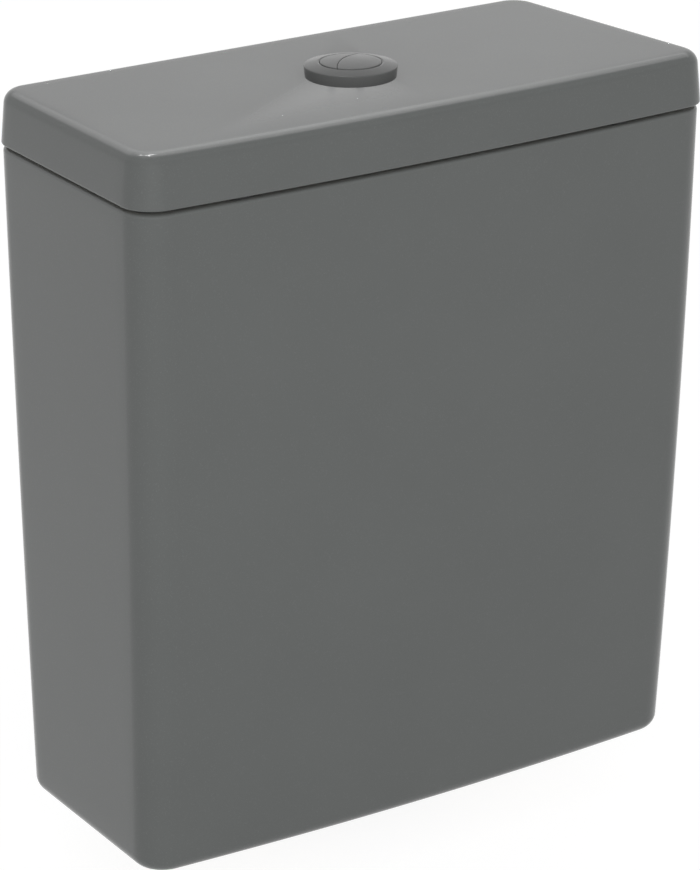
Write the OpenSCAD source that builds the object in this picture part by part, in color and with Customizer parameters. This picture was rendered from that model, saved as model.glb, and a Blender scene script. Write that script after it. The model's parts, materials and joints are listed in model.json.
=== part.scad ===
// Close-coupled toilet cistern with a two-part push button, flush valve and fill valve.
// Millimetres. Z is up, the front faces -Y. The origin lies on the flush outlet axis,
// in the plane of the tank's underside.

/* [Lid] */
// Width of the lid across its front corners
lid_front_w = 370; // [350:1:390]
// Width of the lid across its back corners
lid_back_w = 349; // [330:1:370]
// Depth of the lid, back to front corners
lid_depth = 163; // [156:1:180]
// How far the front bows forward at the lid
lid_bow = 5; // [1:0.5:9]
// Height of the lid
lid_h = 29; // [26:0.5:36]
// Thickness of the lid's top
lid_t = 10; // [8:0.5:12]
// Radius of the lid's top edge
lid_edge_r = 7.5; // [5:0.5:9]
// How far the lid's sides lean in towards the top
lid_draft = 1.8; // [0.5:0.1:3]
// Seam between tank and lid, the thickness of the pads
seam_gap = 2; // [1.5:0.1:3]
// Width of the rib under the lid
rib_t = 6; // [4:0.5:8]
// Drop of the rib into the tank
rib_drop = 8; // [5:0.5:11]
// Side clearance of the rib in the tank
rib_clear = 2.3; // [1.5:0.1:3]

/* [Tank] */
// Height of the tank
tank_h = 371; // [366:1:400]
// Width of the base across its front corners
base_front_w = 352.5; // [340:0.5:362]
// Width of the base across its back corners
base_back_w = 331.5; // [320:0.5:342]
// Depth of the base, back to front corners
base_depth = 144.5; // [140:0.5:155]
// How far the front bows forward at the base
base_bow = 6.5; // [1:0.5:9]
// How far the back leans forward at the base
base_setback = 4; // [0:0.5:6]
// How far the taper gathers towards the base
taper_gather = 0.4; // [0:0.05:0.6]
// Radius of the upright corners in plan
corner_r = 18; // [15:0.5:22]
// Radius of the edge round the base
base_edge_r = 8.5; // [6:0.5:10]
// Step of the rim behind the lid's edge
rim_inset = 1.2; // [0.6:0.1:2]
// Ceramic wall thickness
wall_t = 9; // [8:0.5:11]
// Ceramic floor thickness
floor_t = 11; // [9:0.5:14]
// Radius where walls meet the floor inside
floor_r = 8; // [5:0.5:10]
// Rounding of the rim
rim_r = 2; // [1:0.25:2.5]
// Distance from the lid's back to the outlet axis
outlet_to_back = 85; // [82:0.5:88]

/* [Fixings] */
// Spacing of the bolts to the pan
bolt_spacing = 150; // [140:1:164]
// Shank radius of the bolts to the pan
bolt_r = 4; // [3:0.25:4.5]
// Drop of the bolts below the tank
bolt_drop = 32; // [30:1:36]
// Radius of the bolt holes in the tank
bolt_hole_r = 5.5; // [5:0.25:6.5]
// Outer radius of the bolt washers
bolt_washer_r = 13; // [11:0.5:14]
// Spacing of the screw holes in the back wall
wall_hole_spacing = 140; // [100:1:200]
// Radius of the screw holes in the back wall
wall_hole_r = 4.5; // [3:0.25:5.5]
// Drop of the screw holes below the rim
wall_hole_drop = 45; // [35:1:70]

/* [Button set] */
// Button centre, sideways from the outlet axis
button_x = -6.5; // [-7:0.5:2]
// Button centre, forward or back from the outlet axis
button_y = -7; // [-7.5:0.5:0]
// Outer radius of the bezel
bezel_r = 25; // [24:0.25:28]
// Height of the bezel's outer edge above the lid
bezel_edge_h = 6.25; // [4:0.25:8]
// Further rise of the bezel to its inner edge
bezel_rise = 1.5; // [1:0.1:3]
// Inner radius of the bezel and its sleeve
sleeve_in_r = 16.8; // [16:0.1:18]
// Wall of the threaded sleeve
sleeve_wall = 2.2; // [1.6:0.1:3]
// Drop of the sleeve below the lid's top
sleeve_drop = 36; // [30:0.5:38]
// Slit round and between the buttons
button_slit = 0.5; // [0.3:0.05:0.6]
// How far the buttons stand above the bezel's inner edge
button_proud = 0.2; // [0:0.1:0.6]
// Rise of the buttons from their edge to their middle
button_dome = 0.9; // [0.3:0.1:1.5]
// Depth of the buttons' skirt
button_skirt = 14; // [12:0.5:15]
// Wall of the buttons
button_wall = 1.6; // [1.2:0.1:2]
// Radius of the curved slit between the buttons
split_r = 40; // [25:1:60]
// Distance of that slit from the buttons' centre
split_reach = 5; // [4.6:0.1:5.6]
// Direction from the centre to the smaller button
split_angle = 125; // [118:1:128]
// Press of each button
press_travel = 8; // [5:0.5:8]
// Radius of the push rods
rod_r = 2; // [1.5:0.25:2.25]
// Wire radius of the button springs
spring_wire_r = 0.45; // [0.35:0.05:0.5]
// Curls of each button spring
spring_curls = 6; // [5:1:7]

/* [Flush valve] */
// Outer radius of the threaded tail
tail_r = 29.8; // [28:0.1:31]
// Radius of the outlet bore
outlet_r = 25; // [23:0.25:25.5]
// Drop of the tail below the tank
tail_drop = 19; // [17:0.5:24]
// Drop of the ring seal below the tank
seal_drop = 13; // [12:0.5:16]
// Clearance of the tail in the tank's hole
tail_clear = 2.5; // [1.5:0.1:3]
// Radius of the base flange
flange_r = 42; // [41:0.5:45]
// Thickness of the base flange
flange_t = 5; // [4:0.5:6]
// Thickness of the sealing washers on the floor
washer_t = 2; // [1.5:0.25:3]
// Height of the seat above the flange
seat_h = 4; // [3:0.5:5]
// Thickness of the main seal
seal_t = 3; // [2:0.25:4]
// Outer radius of the overflow tube
tube_r = 16; // [15:0.25:17]
// Wall of the overflow tube
tube_wall = 2.5; // [1.5:0.1:3]
// Water line above the tank's underside
water_line = 215; // [205:1:220]
// Rise of the overflow above the water line
overflow_rise = 30; // [25:1:33]
// Height of the cage
cage_h = 99; // [94:1:105]
// Wall of the cage
cage_wall = 3; // [2.5:0.25:4]
// Height of the cage's windows
window_h = 34; // [25:1:36]
// Distance of the head posts from the axis
post_off = 28; // [26:0.5:31]
// Button side arm of the rockers
press_arm = 12; // [11:0.5:13]
// Lift side arm of the rockers
lift_arm = 27; // [24:0.5:27.5]
// Drop of the yoke's collar below the tube's top
yoke_drop = 37; // [36:0.5:38]
// Height of the yoke's collar
yoke_collar_h = 12; // [11:0.5:13]
// Depth of the pull rod's socket in the half-flush float
pull_socket = 12; // [8:0.5:16]
// Thickness of the rockers
rocker_t = 6; // [5:0.25:6.5]
// Radius of the rocker pins
pin_r = 2.5; // [2:0.25:3]
// Thickness of the head plate and its cheeks
head_t = 4; // [3:0.5:5]
// Height of the rocker pins above the head plate
pivot_h = 21; // [20:0.5:24]

/* [Fill valve] */
// Fill valve axis, sideways from the outlet axis
fill_x = 115; // [113:0.5:118]
// Outer radius of the threaded inlet
inlet_r = 10.48; // [9:0.02:10.6]
// Drop of the inlet below the tank
inlet_drop = 29; // [28:0.5:33]
// Bore of the inlet
inlet_bore_r = 5.5; // [4.5:0.25:6]
// Outer radius of the riser
riser_r = 14; // [13.5:0.25:15]
// Outer radius of the float cup
cup_r = 30; // [28:0.5:31]
// Height of the float cup
cup_h = 54; // [45:1:56]
// Rise of the float cup
cup_rise = 20; // [12:1:20]
// Arm of the float lever
lever_arm = 40; // [38:0.5:42]
// Radius of the lever's pin
lever_pin_r = 2; // [1.5:0.25:2.5]

/* [Fits] */
// Clearance of pieces that slide or lie close
slide_gap = 0.3; // [0.25:0.05:0.4]
// Radial clearance of pins in their hubs
pin_gap = 0.05; // [0.03:0.01:0.08]
// Radial clearance of threads and seated pieces
thread_gap = 0.1; // [0.05:0.05:0.2]
// Depth of the threads, drawn as a step where a nut sits
thread_depth = 0.6; // [0.5:0.05:0.8]

/* [Hidden] */
$fn = 48;

// Steps of the curved shells
corner_steps = 7;
front_steps = 14;
edge_steps = 5;
wall_steps = 6;

// Shell
back_y = outlet_to_back;
lid_z = tank_h + seam_gap;
lid_top = lid_z + lid_h;
lid_under = lid_top - lid_t;
rim_w = lid_front_w - 2 * rim_inset;
rim_d = lid_depth - rim_inset;
rim_narrow = lid_back_w / lid_front_w - 1;
base_narrow = base_back_w / base_front_w - 1;
rib_inset = rim_inset + wall_t + rib_clear;
pad_inset = 63;
back_pad_l = 16;
front_pad_l = 10;
back_pad_w = 4;
front_pad_w = 3.2;

// Fixings
bolt_core_r = bolt_r - thread_depth;
cone_washer_t = 5;
plate_washer_t = 1.6;
rubber_washer_t = 3;
bolt_nut_h = 6.4;
bolt_nut_low = -rubber_washer_t - plate_washer_t - bolt_nut_h;

// Button set
sleeve_r = sleeve_in_r + sleeve_wall;
lid_hole_r = sleeve_r + 1;
bezel_in_top = lid_top + bezel_edge_h + bezel_rise;
button_r = sleeve_in_r - button_slit;
button_top = bezel_in_top + button_proud;
button_low = button_top - button_skirt;
carrier_top = lid_top - sleeve_drop + 4;
split_offset = split_r - split_reach;
split_c = [-split_offset * cos(split_angle), -split_offset * sin(split_angle)];
full_rod = [-5 * cos(split_angle), -5 * sin(split_angle)];
half_mid = (split_reach + button_r) / 2;
half_rod = [half_mid * cos(split_angle), half_mid * sin(split_angle)];
full_rod_x = button_x + full_rod[0];
full_rod_y = button_y + full_rod[1];
half_rod_x = button_x + half_rod[0];
half_rod_y = button_y + half_rod[1];

// Flush valve levels
flange_z = floor_t + washer_t;
flange_top = flange_z + flange_t;
seat_z = flange_top + seat_h;
seat_r = outlet_r + 3;
seal_r = seat_r + 2.5;
clamp_r = outlet_r - 3;
cage_r = flange_r - 4;
cage_top = flange_top + cage_h;
overflow_z = water_line + overflow_rise;
tube_lift = lift_arm * press_travel / press_arm;
head_z = overflow_z + tube_lift + 12;
pivot_z = head_z + head_t + pivot_h;
half_swing = asin(press_travel / 2 / press_arm);
pad_r = 3.5;
foot_z = pivot_z + press_travel / 2 + pad_r + slide_gap;
hook_z = pivot_z - tube_lift / 2 + pad_r + slide_gap;
full_pin_x = full_rod_x - press_arm;
half_pin_x = half_rod_x + press_arm;
yoke_x = full_pin_x - lift_arm - pad_r - 0.8;
pull_x = half_pin_x + lift_arm + pad_r + 3.5;
pull_r = 2.5;
hub_r = pin_r + 2.5;
cheek_gap = rocker_t / 2 + 0.5;
cheek_t = 2.5;
pin_half = cheek_gap + cheek_t;
half_float_z = cage_top + 11;
half_float_h = 40;
half_float_w = 34;
half_float_d = 34;
half_float_gap = 6;
half_float_step = 3;
full_float_rise = 40;
full_float_gap = 4;
post_w = 14;
post_t = 5;
guide_x = 33;
guide_y = -8;
guide_r = 3;

// Fill valve levels
inlet_nut_h = 9;
inlet_core_r = inlet_r - thread_depth;
stem_r = inlet_r - 1;
shank_top = 90;
collar_low = 31;
collar_mid = 34;
riser_low = 40;
slot_low = 96;
slot_high = 112;
cap_z = water_line + 7;
cap_r = riser_r + 3;
cap_top = cap_z + 12;
cup_z = cap_z - 2 - cup_rise - cup_h;
lever_x = fill_x + 7;
lever_z = cap_top + 16;
lever_half = atan(cup_rise / 2 / lever_arm);
link_x = lever_x - lever_arm;
link_z = lever_z - cup_rise / 2;

// Mixes two values
function mix(a, b, t) = a + (b - a) * t;

// Quarter of a corner in plan
function corner(c, r, a0) = [for (k = [0:corner_steps])
    let (a = a0 + 90 * k / corner_steps)
    [c[0] + r * cos(a), c[1] + r * sin(a)]];

// Bows the front and narrows the back of a plan point
function shaped(p, w, d, bow, narrow) =
    let (k = min(1, max(0, -p[1] / d)))
    [p[0] * (1 + narrow * (1 - k)), p[1] - bow * (1 - pow(2 * p[0] / w, 2)) * k];

// Plan outline with rounded corners, its back on y = 0
function outline(w, d, bow, narrow, inset) =
    let (hw = w / 2 - inset)
    let (r = max(corner_r - inset, 1.5))
    let (yf = -d + inset)
    [for (p = concat(
        [for (k = [1:front_steps - 1]) [(hw - r) * (2 * k / front_steps - 1), yf]],
        corner([hw - r, yf + r], r, -90),
        corner([hw - r, -inset - r], r, 0),
        corner([-hw + r, -inset - r], r, 90),
        corner([-hw + r, yf + r], r, 180)))
        shaped(p, w, d, bow, narrow)];

// Outline of the lid at one height
function lid_ring(z, inset) =
    [for (p = outline(lid_front_w, lid_depth, lid_bow, rim_narrow, inset)) [p[0], p[1] + back_y, z]];

// Outline of the tank at one height
function tank_ring(z, inset) =
    let (t = 1 - z / tank_h)
    let (s = t + taper_gather * t * (t - 1))
    let (w = mix(rim_w, base_front_w, s))
    let (d = mix(rim_d, base_depth, s))
    let (bow = mix(lid_bow, base_bow, t))
    let (narrow = mix(rim_narrow, base_narrow, t))
    [for (p = outline(w, d, bow, narrow, inset)) [p[0], p[1] + back_y - base_setback * t, z]];

// Front of the rim at a given x
function rim_front(x) = back_y - rim_d - lid_bow * (1 - pow(2 * x / rim_w, 2));

// Rings of the tank: up the outside, over the rim, down the inside
function tank_rings() = concat(
    [for (k = [0:edge_steps])
        let (a = 90 * k / edge_steps)
        tank_ring(base_edge_r * (1 - cos(a)), base_edge_r * (1 - sin(a)))],
    [for (k = [1:wall_steps])
        tank_ring(mix(base_edge_r, tank_h - rim_r, k / wall_steps), 0)],
    [for (k = [1:2])
        let (a = 45 * k)
        tank_ring(tank_h - rim_r + rim_r * sin(a), rim_r * (1 - cos(a)))],
    [for (k = [0:2])
        let (a = 45 * k)
        tank_ring(tank_h - rim_r + rim_r * cos(a), wall_t - rim_r + rim_r * sin(a))],
    [for (k = [1:wall_steps])
        tank_ring(mix(tank_h - rim_r, floor_t + floor_r, k / wall_steps), wall_t)],
    [for (k = [1:edge_steps])
        let (a = 90 * k / edge_steps)
        tank_ring(floor_t + floor_r * (1 - sin(a)), wall_t + floor_r * (1 - cos(a)))]);

// Rings of the lid: down the hollow, round the rib and the lower edge, up to the top
function lid_rings() = concat(
    [lid_ring(lid_under, rib_inset + rib_t + 4),
     lid_ring(lid_under - 1.2, rib_inset + rib_t + 1.2),
     lid_ring(lid_under - 4, rib_inset + rib_t),
     lid_ring(lid_z - rib_drop, rib_inset + rib_t),
     lid_ring(lid_z - rib_drop, rib_inset),
     lid_ring(lid_z, rib_inset),
     lid_ring(lid_z, 1.2),
     lid_ring(lid_z + 1.2, 0)],
    [for (k = [0:edge_steps + 1])
        let (a = 90 * k / (edge_steps + 1))
        lid_ring(lid_top - lid_edge_r + lid_edge_r * sin(a), lid_draft + lid_edge_r * (1 - cos(a)))]);

// Solid between a row of rings
module loft(rings) {
    n = len(rings[0]);
    m = len(rings);
    points = [for (r = rings) each r];
    first = [for (k = [0:n - 1]) k];
    last = [for (k = [n - 1:-1:0]) (m - 1) * n + k];
    low = [for (i = [0:m - 2], k = [0:n - 1])
        [i * n + k, (i + 1) * n + k, (i + 1) * n + (k + 1) % n]];
    high = [for (i = [0:m - 2], k = [0:n - 1])
        [i * n + k, (i + 1) * n + (k + 1) % n, i * n + (k + 1) % n]];
    polyhedron(points, concat([first], low, high, [last]));
}

// Upright cylinder between two heights
module rod(r, z0, z1) {
    translate([0, 0, z0])
        cylinder(r = r, h = z1 - z0);
}

// Upright ring between two heights
module ring(ro, ri, z0, z1) {
    difference() {
        rod(ro, z0, z1);
        rod(ri, z0 - 1, z1 + 1);
    }
}

// Box between two corners
module box(a, b) {
    translate(a)
        cube([b[0] - a[0], b[1] - a[1], b[2] - a[2]]);
}

// Cylinder along Y through a point
module cross_pin(r, x, z, y0, y1) {
    translate([x, y0, z])
        rotate([-90, 0, 0])
            cylinder(r = r, h = y1 - y0);
}

// Two copies, one at each pan bolt
module at_bolts() {
    for (s = [-1, 1])
        translate([s * bolt_spacing / 2, 0, 0])
            children();
}

// Ceramic body with its holes
module tank() {
    color("#656766")
    difference() {
        loft(tank_rings());
        rod(tail_r + tail_clear, -5, floor_t + 5);
        at_bolts()
            rod(bolt_hole_r, -5, floor_t + 5);
        translate([fill_x, 0, 0])
            rod(inlet_r + 2, -5, floor_t + 5);
        for (s = [-1, 1])
            cross_pin(wall_hole_r, s * wall_hole_spacing / 2, tank_h - wall_hole_drop,
                      back_y - base_setback - wall_t - 12, back_y + 5);
    }
}

// Ceramic lid with the button hole
module lid() {
    color("#6a6c6b")
    difference() {
        loft(lid_rings());
        translate([button_x, button_y, 0])
            rod(lid_hole_r, lid_under - 5, lid_top + 5);
    }
}

// Pads on the rim that carry the lid
module lid_pads() {
    pad_x = rim_w / 2 - pad_inset;
    back_y0 = back_y - wall_t / 2;
    front_y0 = rim_front(pad_x) + wall_t / 2;
    color("#202020")
    for (s = [-1, 1]) {
        box([s * pad_x - back_pad_l / 2, back_y0 - back_pad_w / 2, tank_h],
            [s * pad_x + back_pad_l / 2, back_y0 + back_pad_w / 2, lid_z]);
        box([s * pad_x - front_pad_l / 2, front_y0 - front_pad_w / 2, tank_h],
            [s * pad_x + front_pad_l / 2, front_y0 + front_pad_w / 2, lid_z]);
    }
}

// Bezel on the lid, one piece with its threaded sleeve
module button_bezel() {
    color("#7c7e7d")
    translate([button_x, button_y, 0])
        rotate_extrude()
            polygon([[sleeve_in_r, lid_top - sleeve_drop],
                     [sleeve_r, lid_top - sleeve_drop],
                     [sleeve_r, lid_top],
                     [bezel_r, lid_top],
                     [bezel_r, lid_top + bezel_edge_h - 0.8],
                     [bezel_r - 0.8, lid_top + bezel_edge_h],
                     [sleeve_in_r + 0.6, bezel_in_top],
                     [sleeve_in_r, bezel_in_top - 0.4]]);
}

// Washer under the lid
module bezel_washer() {
    color("#1d1d1d")
    translate([button_x, button_y, 0])
        ring(sleeve_r + 9, sleeve_r + thread_gap, lid_under - 1.5, lid_under);
}

// Nut that clamps the bezel to the lid
module sleeve_nut() {
    color("#e4e4df")
    translate([button_x, button_y, 0])
        difference() {
            union() {
                rod(sleeve_r + 8, lid_under - 4.5, lid_under - 1.5);
                rod(sleeve_r + 5, lid_under - 10, lid_under - 4.5);
                for (a = [0:45:135])
                    rotate([0, 0, a])
                        box([-sleeve_r - 8, -2, lid_under - 10], [sleeve_r + 8, 2, lid_under - 4.5]);
            }
            rod(sleeve_r + thread_gap, lid_under - 12, lid_under);
        }
}

// Plate that closes the sleeve, guides the rods and carries the springs
module button_carrier() {
    low = lid_top - sleeve_drop;
    color("#d8d8d4")
    translate([button_x, button_y, 0])
        difference() {
            union() {
                rod(sleeve_in_r - thread_gap, low, carrier_top);
                rod(sleeve_r - 0.2, low - 2, low);
            }
            translate([full_rod[0], full_rod[1], 0])
                rod(rod_r + slide_gap, low - 5, carrier_top + 5);
            translate([half_rod[0], half_rod[1], 0])
                rod(rod_r + slide_gap, low - 5, carrier_top + 5);
        }
}

// Plan of the larger button, drawn in by a margin
module full_plan(m) {
    intersection() {
        circle(r = button_r - m);
        translate(split_c)
            circle(r = split_r - button_slit / 2 - m);
    }
}

// Plan of the smaller button, drawn in by a margin
module half_plan(m) {
    difference() {
        circle(r = button_r - m);
        translate(split_c)
            circle(r = split_r + button_slit / 2 + m);
    }
}

// Height of the shared dome over the buttons' edge, at a distance from the middle
function dome_at(r) = button_dome * (1 - pow(r / button_r, 2));

// Space above the dome shared by both buttons
module dome_cut() {
    past = button_r + 1;
    steps = 4;
    translate([0, 0, button_top])
        rotate_extrude($fn = 96)
            polygon(concat([for (k = [0:steps]) [past * k / steps, dome_at(past * k / steps)]],
                           [[past, button_dome + 2], [0, button_dome + 2]]));
}

// Larger button with its rod boss
module full_flush_button() {
    color("#7c7e7d")
    translate([button_x, button_y, 0])
        difference() {
            union() {
                difference() {
                    translate([0, 0, button_low])
                        linear_extrude(button_skirt + button_dome)
                            full_plan(0);
                    translate([0, 0, button_low - 1])
                        linear_extrude(button_skirt - 4)
                            full_plan(button_wall);
                }
                translate([full_rod[0], full_rod[1], 0])
                    rod(rod_r + 2.5, button_low, button_top - 4);
            }
            dome_cut();
            translate([full_rod[0], full_rod[1], 0])
                rod(rod_r + thread_gap, button_low - 1, button_top - 6);
        }
}

// Smaller button with its rod boss
module half_flush_button() {
    color("#7c7e7d")
    translate([button_x, button_y, 0])
        difference() {
            union() {
                difference() {
                    translate([0, 0, button_low])
                        linear_extrude(button_skirt + button_dome)
                            half_plan(0);
                    translate([0, 0, button_low - 1])
                        linear_extrude(button_skirt - 4)
                            half_plan(button_wall);
                }
                translate([half_rod[0], half_rod[1], 0])
                    rod(rod_r + 1.5, button_low, button_top - 4);
            }
            dome_cut();
            translate([half_rod[0], half_rod[1], 0])
                rod(rod_r + thread_gap, button_low - 1, button_top - 6);
        }
}

// Push rod with a flat foot
module push_rod() {
    union() {
        rod(rod_r, foot_z + 1, button_top - 6);
        rod(rod_r + 2, foot_z, foot_z + 3);
        rod(rod_r + 1.2, foot_z + 3, foot_z + 9);
    }
}

// Rod under the larger button
module full_flush_rod() {
    color("#3f6fae")
    translate([full_rod_x, full_rod_y, 0])
        push_rod();
}

// Rod under the smaller button
module half_flush_rod() {
    color("#3f6fae")
    translate([half_rod_x, half_rod_y, 0])
        push_rod();
}

// Middle line of a spring, upright on the origin
function coil(r, z0, z1) = [for (k = [0:8 * spring_curls])
    let (a = 45 * k)
    [r * cos(a), r * sin(a), mix(z0, z1, k / (8 * spring_curls))]];

// Rings of wire round a spring's middle line
function coil_rings(line, r, pitch) = [for (k = [0:len(line) - 1])
    let (a = 45 * k)
    let (tilt = atan(pitch / (2 * PI * r)))
    [for (j = [0:5])
        let (b = 60 * j)
        let (u = spring_wire_r * cos(b))
        let (v = spring_wire_r * sin(b))
        [line[k][0] + u * cos(a) + v * sin(a) * sin(tilt),
         line[k][1] + u * sin(a) - v * cos(a) * sin(tilt),
         line[k][2] + v * cos(tilt)]]];

// Least gap of a spring to itself, measured on the points of its middle line
function coil_gap(line) = min([for (i = [0:len(line) - 5], j = [i + 4:len(line) - 1])
    norm(line[i] - line[j])]) - 2 * spring_wire_r;

// Return spring between carrier and button
module spring(r) {
    z0 = carrier_top + spring_wire_r + 0.1;
    z1 = button_low - spring_wire_r - 0.1;
    line = coil(r, z0, z1);
    echo(spring_radius = r, least_gap = coil_gap(line));
    loft(coil_rings(line, r, (z1 - z0) / spring_curls));
}

// Spring of the larger button
module full_flush_spring() {
    color("#b9bcc0")
    translate([full_rod_x, full_rod_y, 0])
        spring(rod_r + 1.9);
}

// Spring of the smaller button
module half_flush_spring() {
    color("#b9bcc0")
    translate([half_rod_x, half_rod_y, 0])
        spring(rod_r + 1.3);
}

// Flush valve base: threaded tail, flange and seat
module valve_base() {
    color("#f0f0ec")
    difference() {
        union() {
            rod(tail_r, -tail_drop, flange_z);
            rod(flange_r, flange_z, flange_top);
            rod(seat_r, flange_top, seat_z);
        }
        rod(outlet_r, -tail_drop - 1, seat_z + 1);
        rod(outlet_r + 1, flange_z, seat_z + 1);
    }
}

// Washer between flange and tank floor
module outlet_washer() {
    color("#1d1d1d")
    ring(flange_r - 1, tail_r + thread_gap, floor_t, flange_z);
}

// Back nut of the flush valve
module outlet_nut() {
    nut_r = tail_r + 6.2;
    color("#e4e4df")
    difference() {
        union() {
            rod(nut_r, -3, 0);
            rod(nut_r - 2, -9, -3);
            for (a = [0:60:120])
                rotate([0, 0, a])
                    box([-nut_r, -3, -9], [nut_r, 3, -2]);
        }
        rod(tail_r + thread_gap, -12, 1);
    }
}

// Thick ring seal between tank and pan
module pan_seal() {
    inner = tail_r + 6.6;
    outer = inner + 7.5;
    color("#2a2a2a")
    rotate_extrude()
        polygon([[inner, 0], [outer, 0], [outer, -9], [outer - 4, -seal_drop], [tail_r + 0.4, -seal_drop],
                 [tail_r + 0.4, -9.6], [inner, -9.6]]);
}

// Cage round the seal, with four windows
module valve_cage() {
    color("#f0f0ec")
    difference() {
        union() {
            ring(cage_r, cage_r - cage_wall, flange_top, cage_top - 3);
            rod(cage_r, cage_top - 3, cage_top);
        }
        rod(tube_r + slide_gap, cage_top - 10, cage_top + 5);
        for (a = [0, 90])
            rotate([0, 0, a])
                box([-cage_r - 5, -15, flange_top + seat_h],
                    [cage_r + 5, 15, flange_top + seat_h + window_h]);
    }
}

// Two posts from the cage to the head
module head_posts() {
    color("#f0f0ec")
    for (s = [-1, 1])
        box([-post_w / 2, s * post_off - post_t / 2, cage_top],
            [post_w / 2, s * post_off + post_t / 2, head_z]);
}

// Rod that guides the half-flush float, with its stop
module float_guide() {
    color("#f0f0ec")
    translate([guide_x, guide_y, 0])
        union() {
            rod(guide_r, cage_top, half_float_z + half_float_h + tube_lift + 10);
            rod(guide_r + 3, half_float_z - 6, half_float_z - slide_gap);
        }
}

// One pair of cheeks for a rocker pin
module cheeks(x, y) {
    for (s = [-1, 1])
        box([x - 7, y + s * (cheek_gap + cheek_t / 2) - cheek_t / 2, head_z + head_t - 1],
            [x + 7, y + s * (cheek_gap + cheek_t / 2) + cheek_t / 2, pivot_z + 5]);
}

// Head that carries the rockers and guides the pull rod
module valve_head() {
    color("#3f6fae")
    difference() {
        union() {
            box([-24, -post_off - 5, head_z], [24, post_off + 5, head_z + head_t]);
            box([20, half_rod_y - 6, head_z], [pull_x + 6, half_rod_y + 6, head_z + head_t]);
            cheeks(full_pin_x, full_rod_y);
            cheeks(half_pin_x, half_rod_y);
        }
        translate([pull_x, half_rod_y, 0])
            rod(pull_r + slide_gap, head_z - 5, head_z + head_t + 5);
        cross_pin(pin_r, full_pin_x, pivot_z, full_rod_y - 15, full_rod_y + cheek_gap + cheek_t + 1);
        cross_pin(pin_r, half_pin_x, pivot_z, half_rod_y - cheek_gap - cheek_t - 1, half_rod_y + 15);
    }
}

// Pins of both rockers
module rocker_pins() {
    color("#b9bcc0")
    union() {
        cross_pin(pin_r, full_pin_x, pivot_z, full_rod_y - pin_half, full_rod_y + pin_half);
        cross_pin(pin_r, half_pin_x, pivot_z, half_rod_y - pin_half, half_rod_y + pin_half);
    }
}

// Rocker lying flat on its pin, button arm towards +X
module rocker_flat() {
    difference() {
        union() {
            cross_pin(hub_r, 0, 0, -rocker_t / 2, rocker_t / 2);
            cross_pin(pad_r, press_arm, 0, -rocker_t / 2, rocker_t / 2);
            cross_pin(pad_r, -lift_arm, 0, -rocker_t / 2, rocker_t / 2);
            box([-lift_arm, -rocker_t / 2, -2], [press_arm, rocker_t / 2, 2]);
        }
        cross_pin(pin_r + pin_gap, 0, 0, -rocker_t, rocker_t);
    }
}

// Rocker of the larger button, at rest
module full_rocker() {
    color("#f0f0ec")
    translate([full_pin_x, full_rod_y, pivot_z])
        rotate([0, -half_swing, 0])
            rocker_flat();
}

// Rocker of the smaller button, at rest
module half_rocker() {
    color("#f0f0ec")
    translate([half_pin_x, half_rod_y, pivot_z])
        rotate([0, half_swing, 0])
            rotate([0, 0, 180])
                rocker_flat();
}

// Overflow tube with the flange above the seal
module overflow_tube() {
    low = seat_z - seat_h + 0.5;
    color("#f0f0ec")
    difference() {
        union() {
            rod(tube_r, low, overflow_z);
            rod(seal_r - 1.5, seat_z + seal_t, seat_z + seal_t + 3);
        }
        rod(tube_r - tube_wall, low - 1, overflow_z + 1);
    }
}

// Rubber seal on the seat
module main_seal() {
    color("#8a2f2a")
    ring(seal_r, tube_r + thread_gap, seat_z, seat_z + seal_t);
}

// Ring that clamps the seal to the tube
module seal_clamp() {
    color("#3f6fae")
    ring(clamp_r, tube_r + thread_gap, seat_z - seat_h + 0.5, seat_z);
}

// Yoke from the tube up to the rocker
module lift_yoke() {
    y0 = full_rod_y - 4;
    y1 = full_rod_y + 4;
    low = overflow_z - yoke_drop;
    color("#3f6fae")
    difference() {
        union() {
            rod(tube_r + 4, low, low + yoke_collar_h);
            box([yoke_x - 4, y0, low + 2], [-10, y1, low + yoke_collar_h - 2]);
            box([yoke_x - 4, y0, low + 2], [yoke_x, y1, hook_z + 4]);
            box([yoke_x - 4, y0, hook_z], [yoke_x + 8.3, y1, hook_z + 4]);
        }
        rod(tube_r + thread_gap, low - 1, low + yoke_collar_h + 1);
    }
}

// Float on the tube inside the cage
module full_flush_float() {
    color("#e8e3d0")
    ring(cage_r - cage_wall - full_float_gap, tube_r + thread_gap, seat_z + full_float_rise,
         cage_top - tube_lift - 6);
}

// Half-flush float beside the tube
module half_flush_float() {
    x0 = tube_r + half_float_gap;
    x1 = x0 + half_float_w;
    y1 = half_float_d / 2;
    top = half_float_z + half_float_h;
    step = half_float_step;
    color("#e8e3d0")
    difference() {
        union() {
            box([x0, -y1, half_float_z], [x1, y1, top - step]);
            box([x0 + step, step - y1, top - step], [x1 - step, y1 - step, top]);
        }
        translate([guide_x, guide_y, 0])
            rod(guide_r + slide_gap, half_float_z - 5, top + 5);
        translate([pull_x, half_rod_y, 0])
            rod(pull_r + thread_gap, top - pull_socket, top + 5);
    }
}

// Pull rod of the half-flush float, hooked over its rocker
module half_pull_rod() {
    color("#3f6fae")
    translate([pull_x, half_rod_y, 0])
        union() {
            rod(pull_r, half_float_z + half_float_h - pull_socket, hook_z + 3);
            box([-11.5, -4, hook_z], [3, 4, hook_z + 4]);
        }
}

// Fill valve shank: threaded inlet, flange and stem
module inlet_shank() {
    color("#f0f0ec")
    translate([fill_x, 0, 0])
        difference() {
            union() {
                rod(inlet_r, -inlet_drop, -inlet_nut_h - 0.5);
                rod(inlet_core_r, -inlet_nut_h - 0.5, flange_z);
                rod(inlet_r + 7.5, flange_z, flange_z + 4);
                rod(stem_r, flange_z + 4, shank_top);
            }
            rod(inlet_bore_r, -inlet_drop - 1, shank_top + 1);
        }
}

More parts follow.
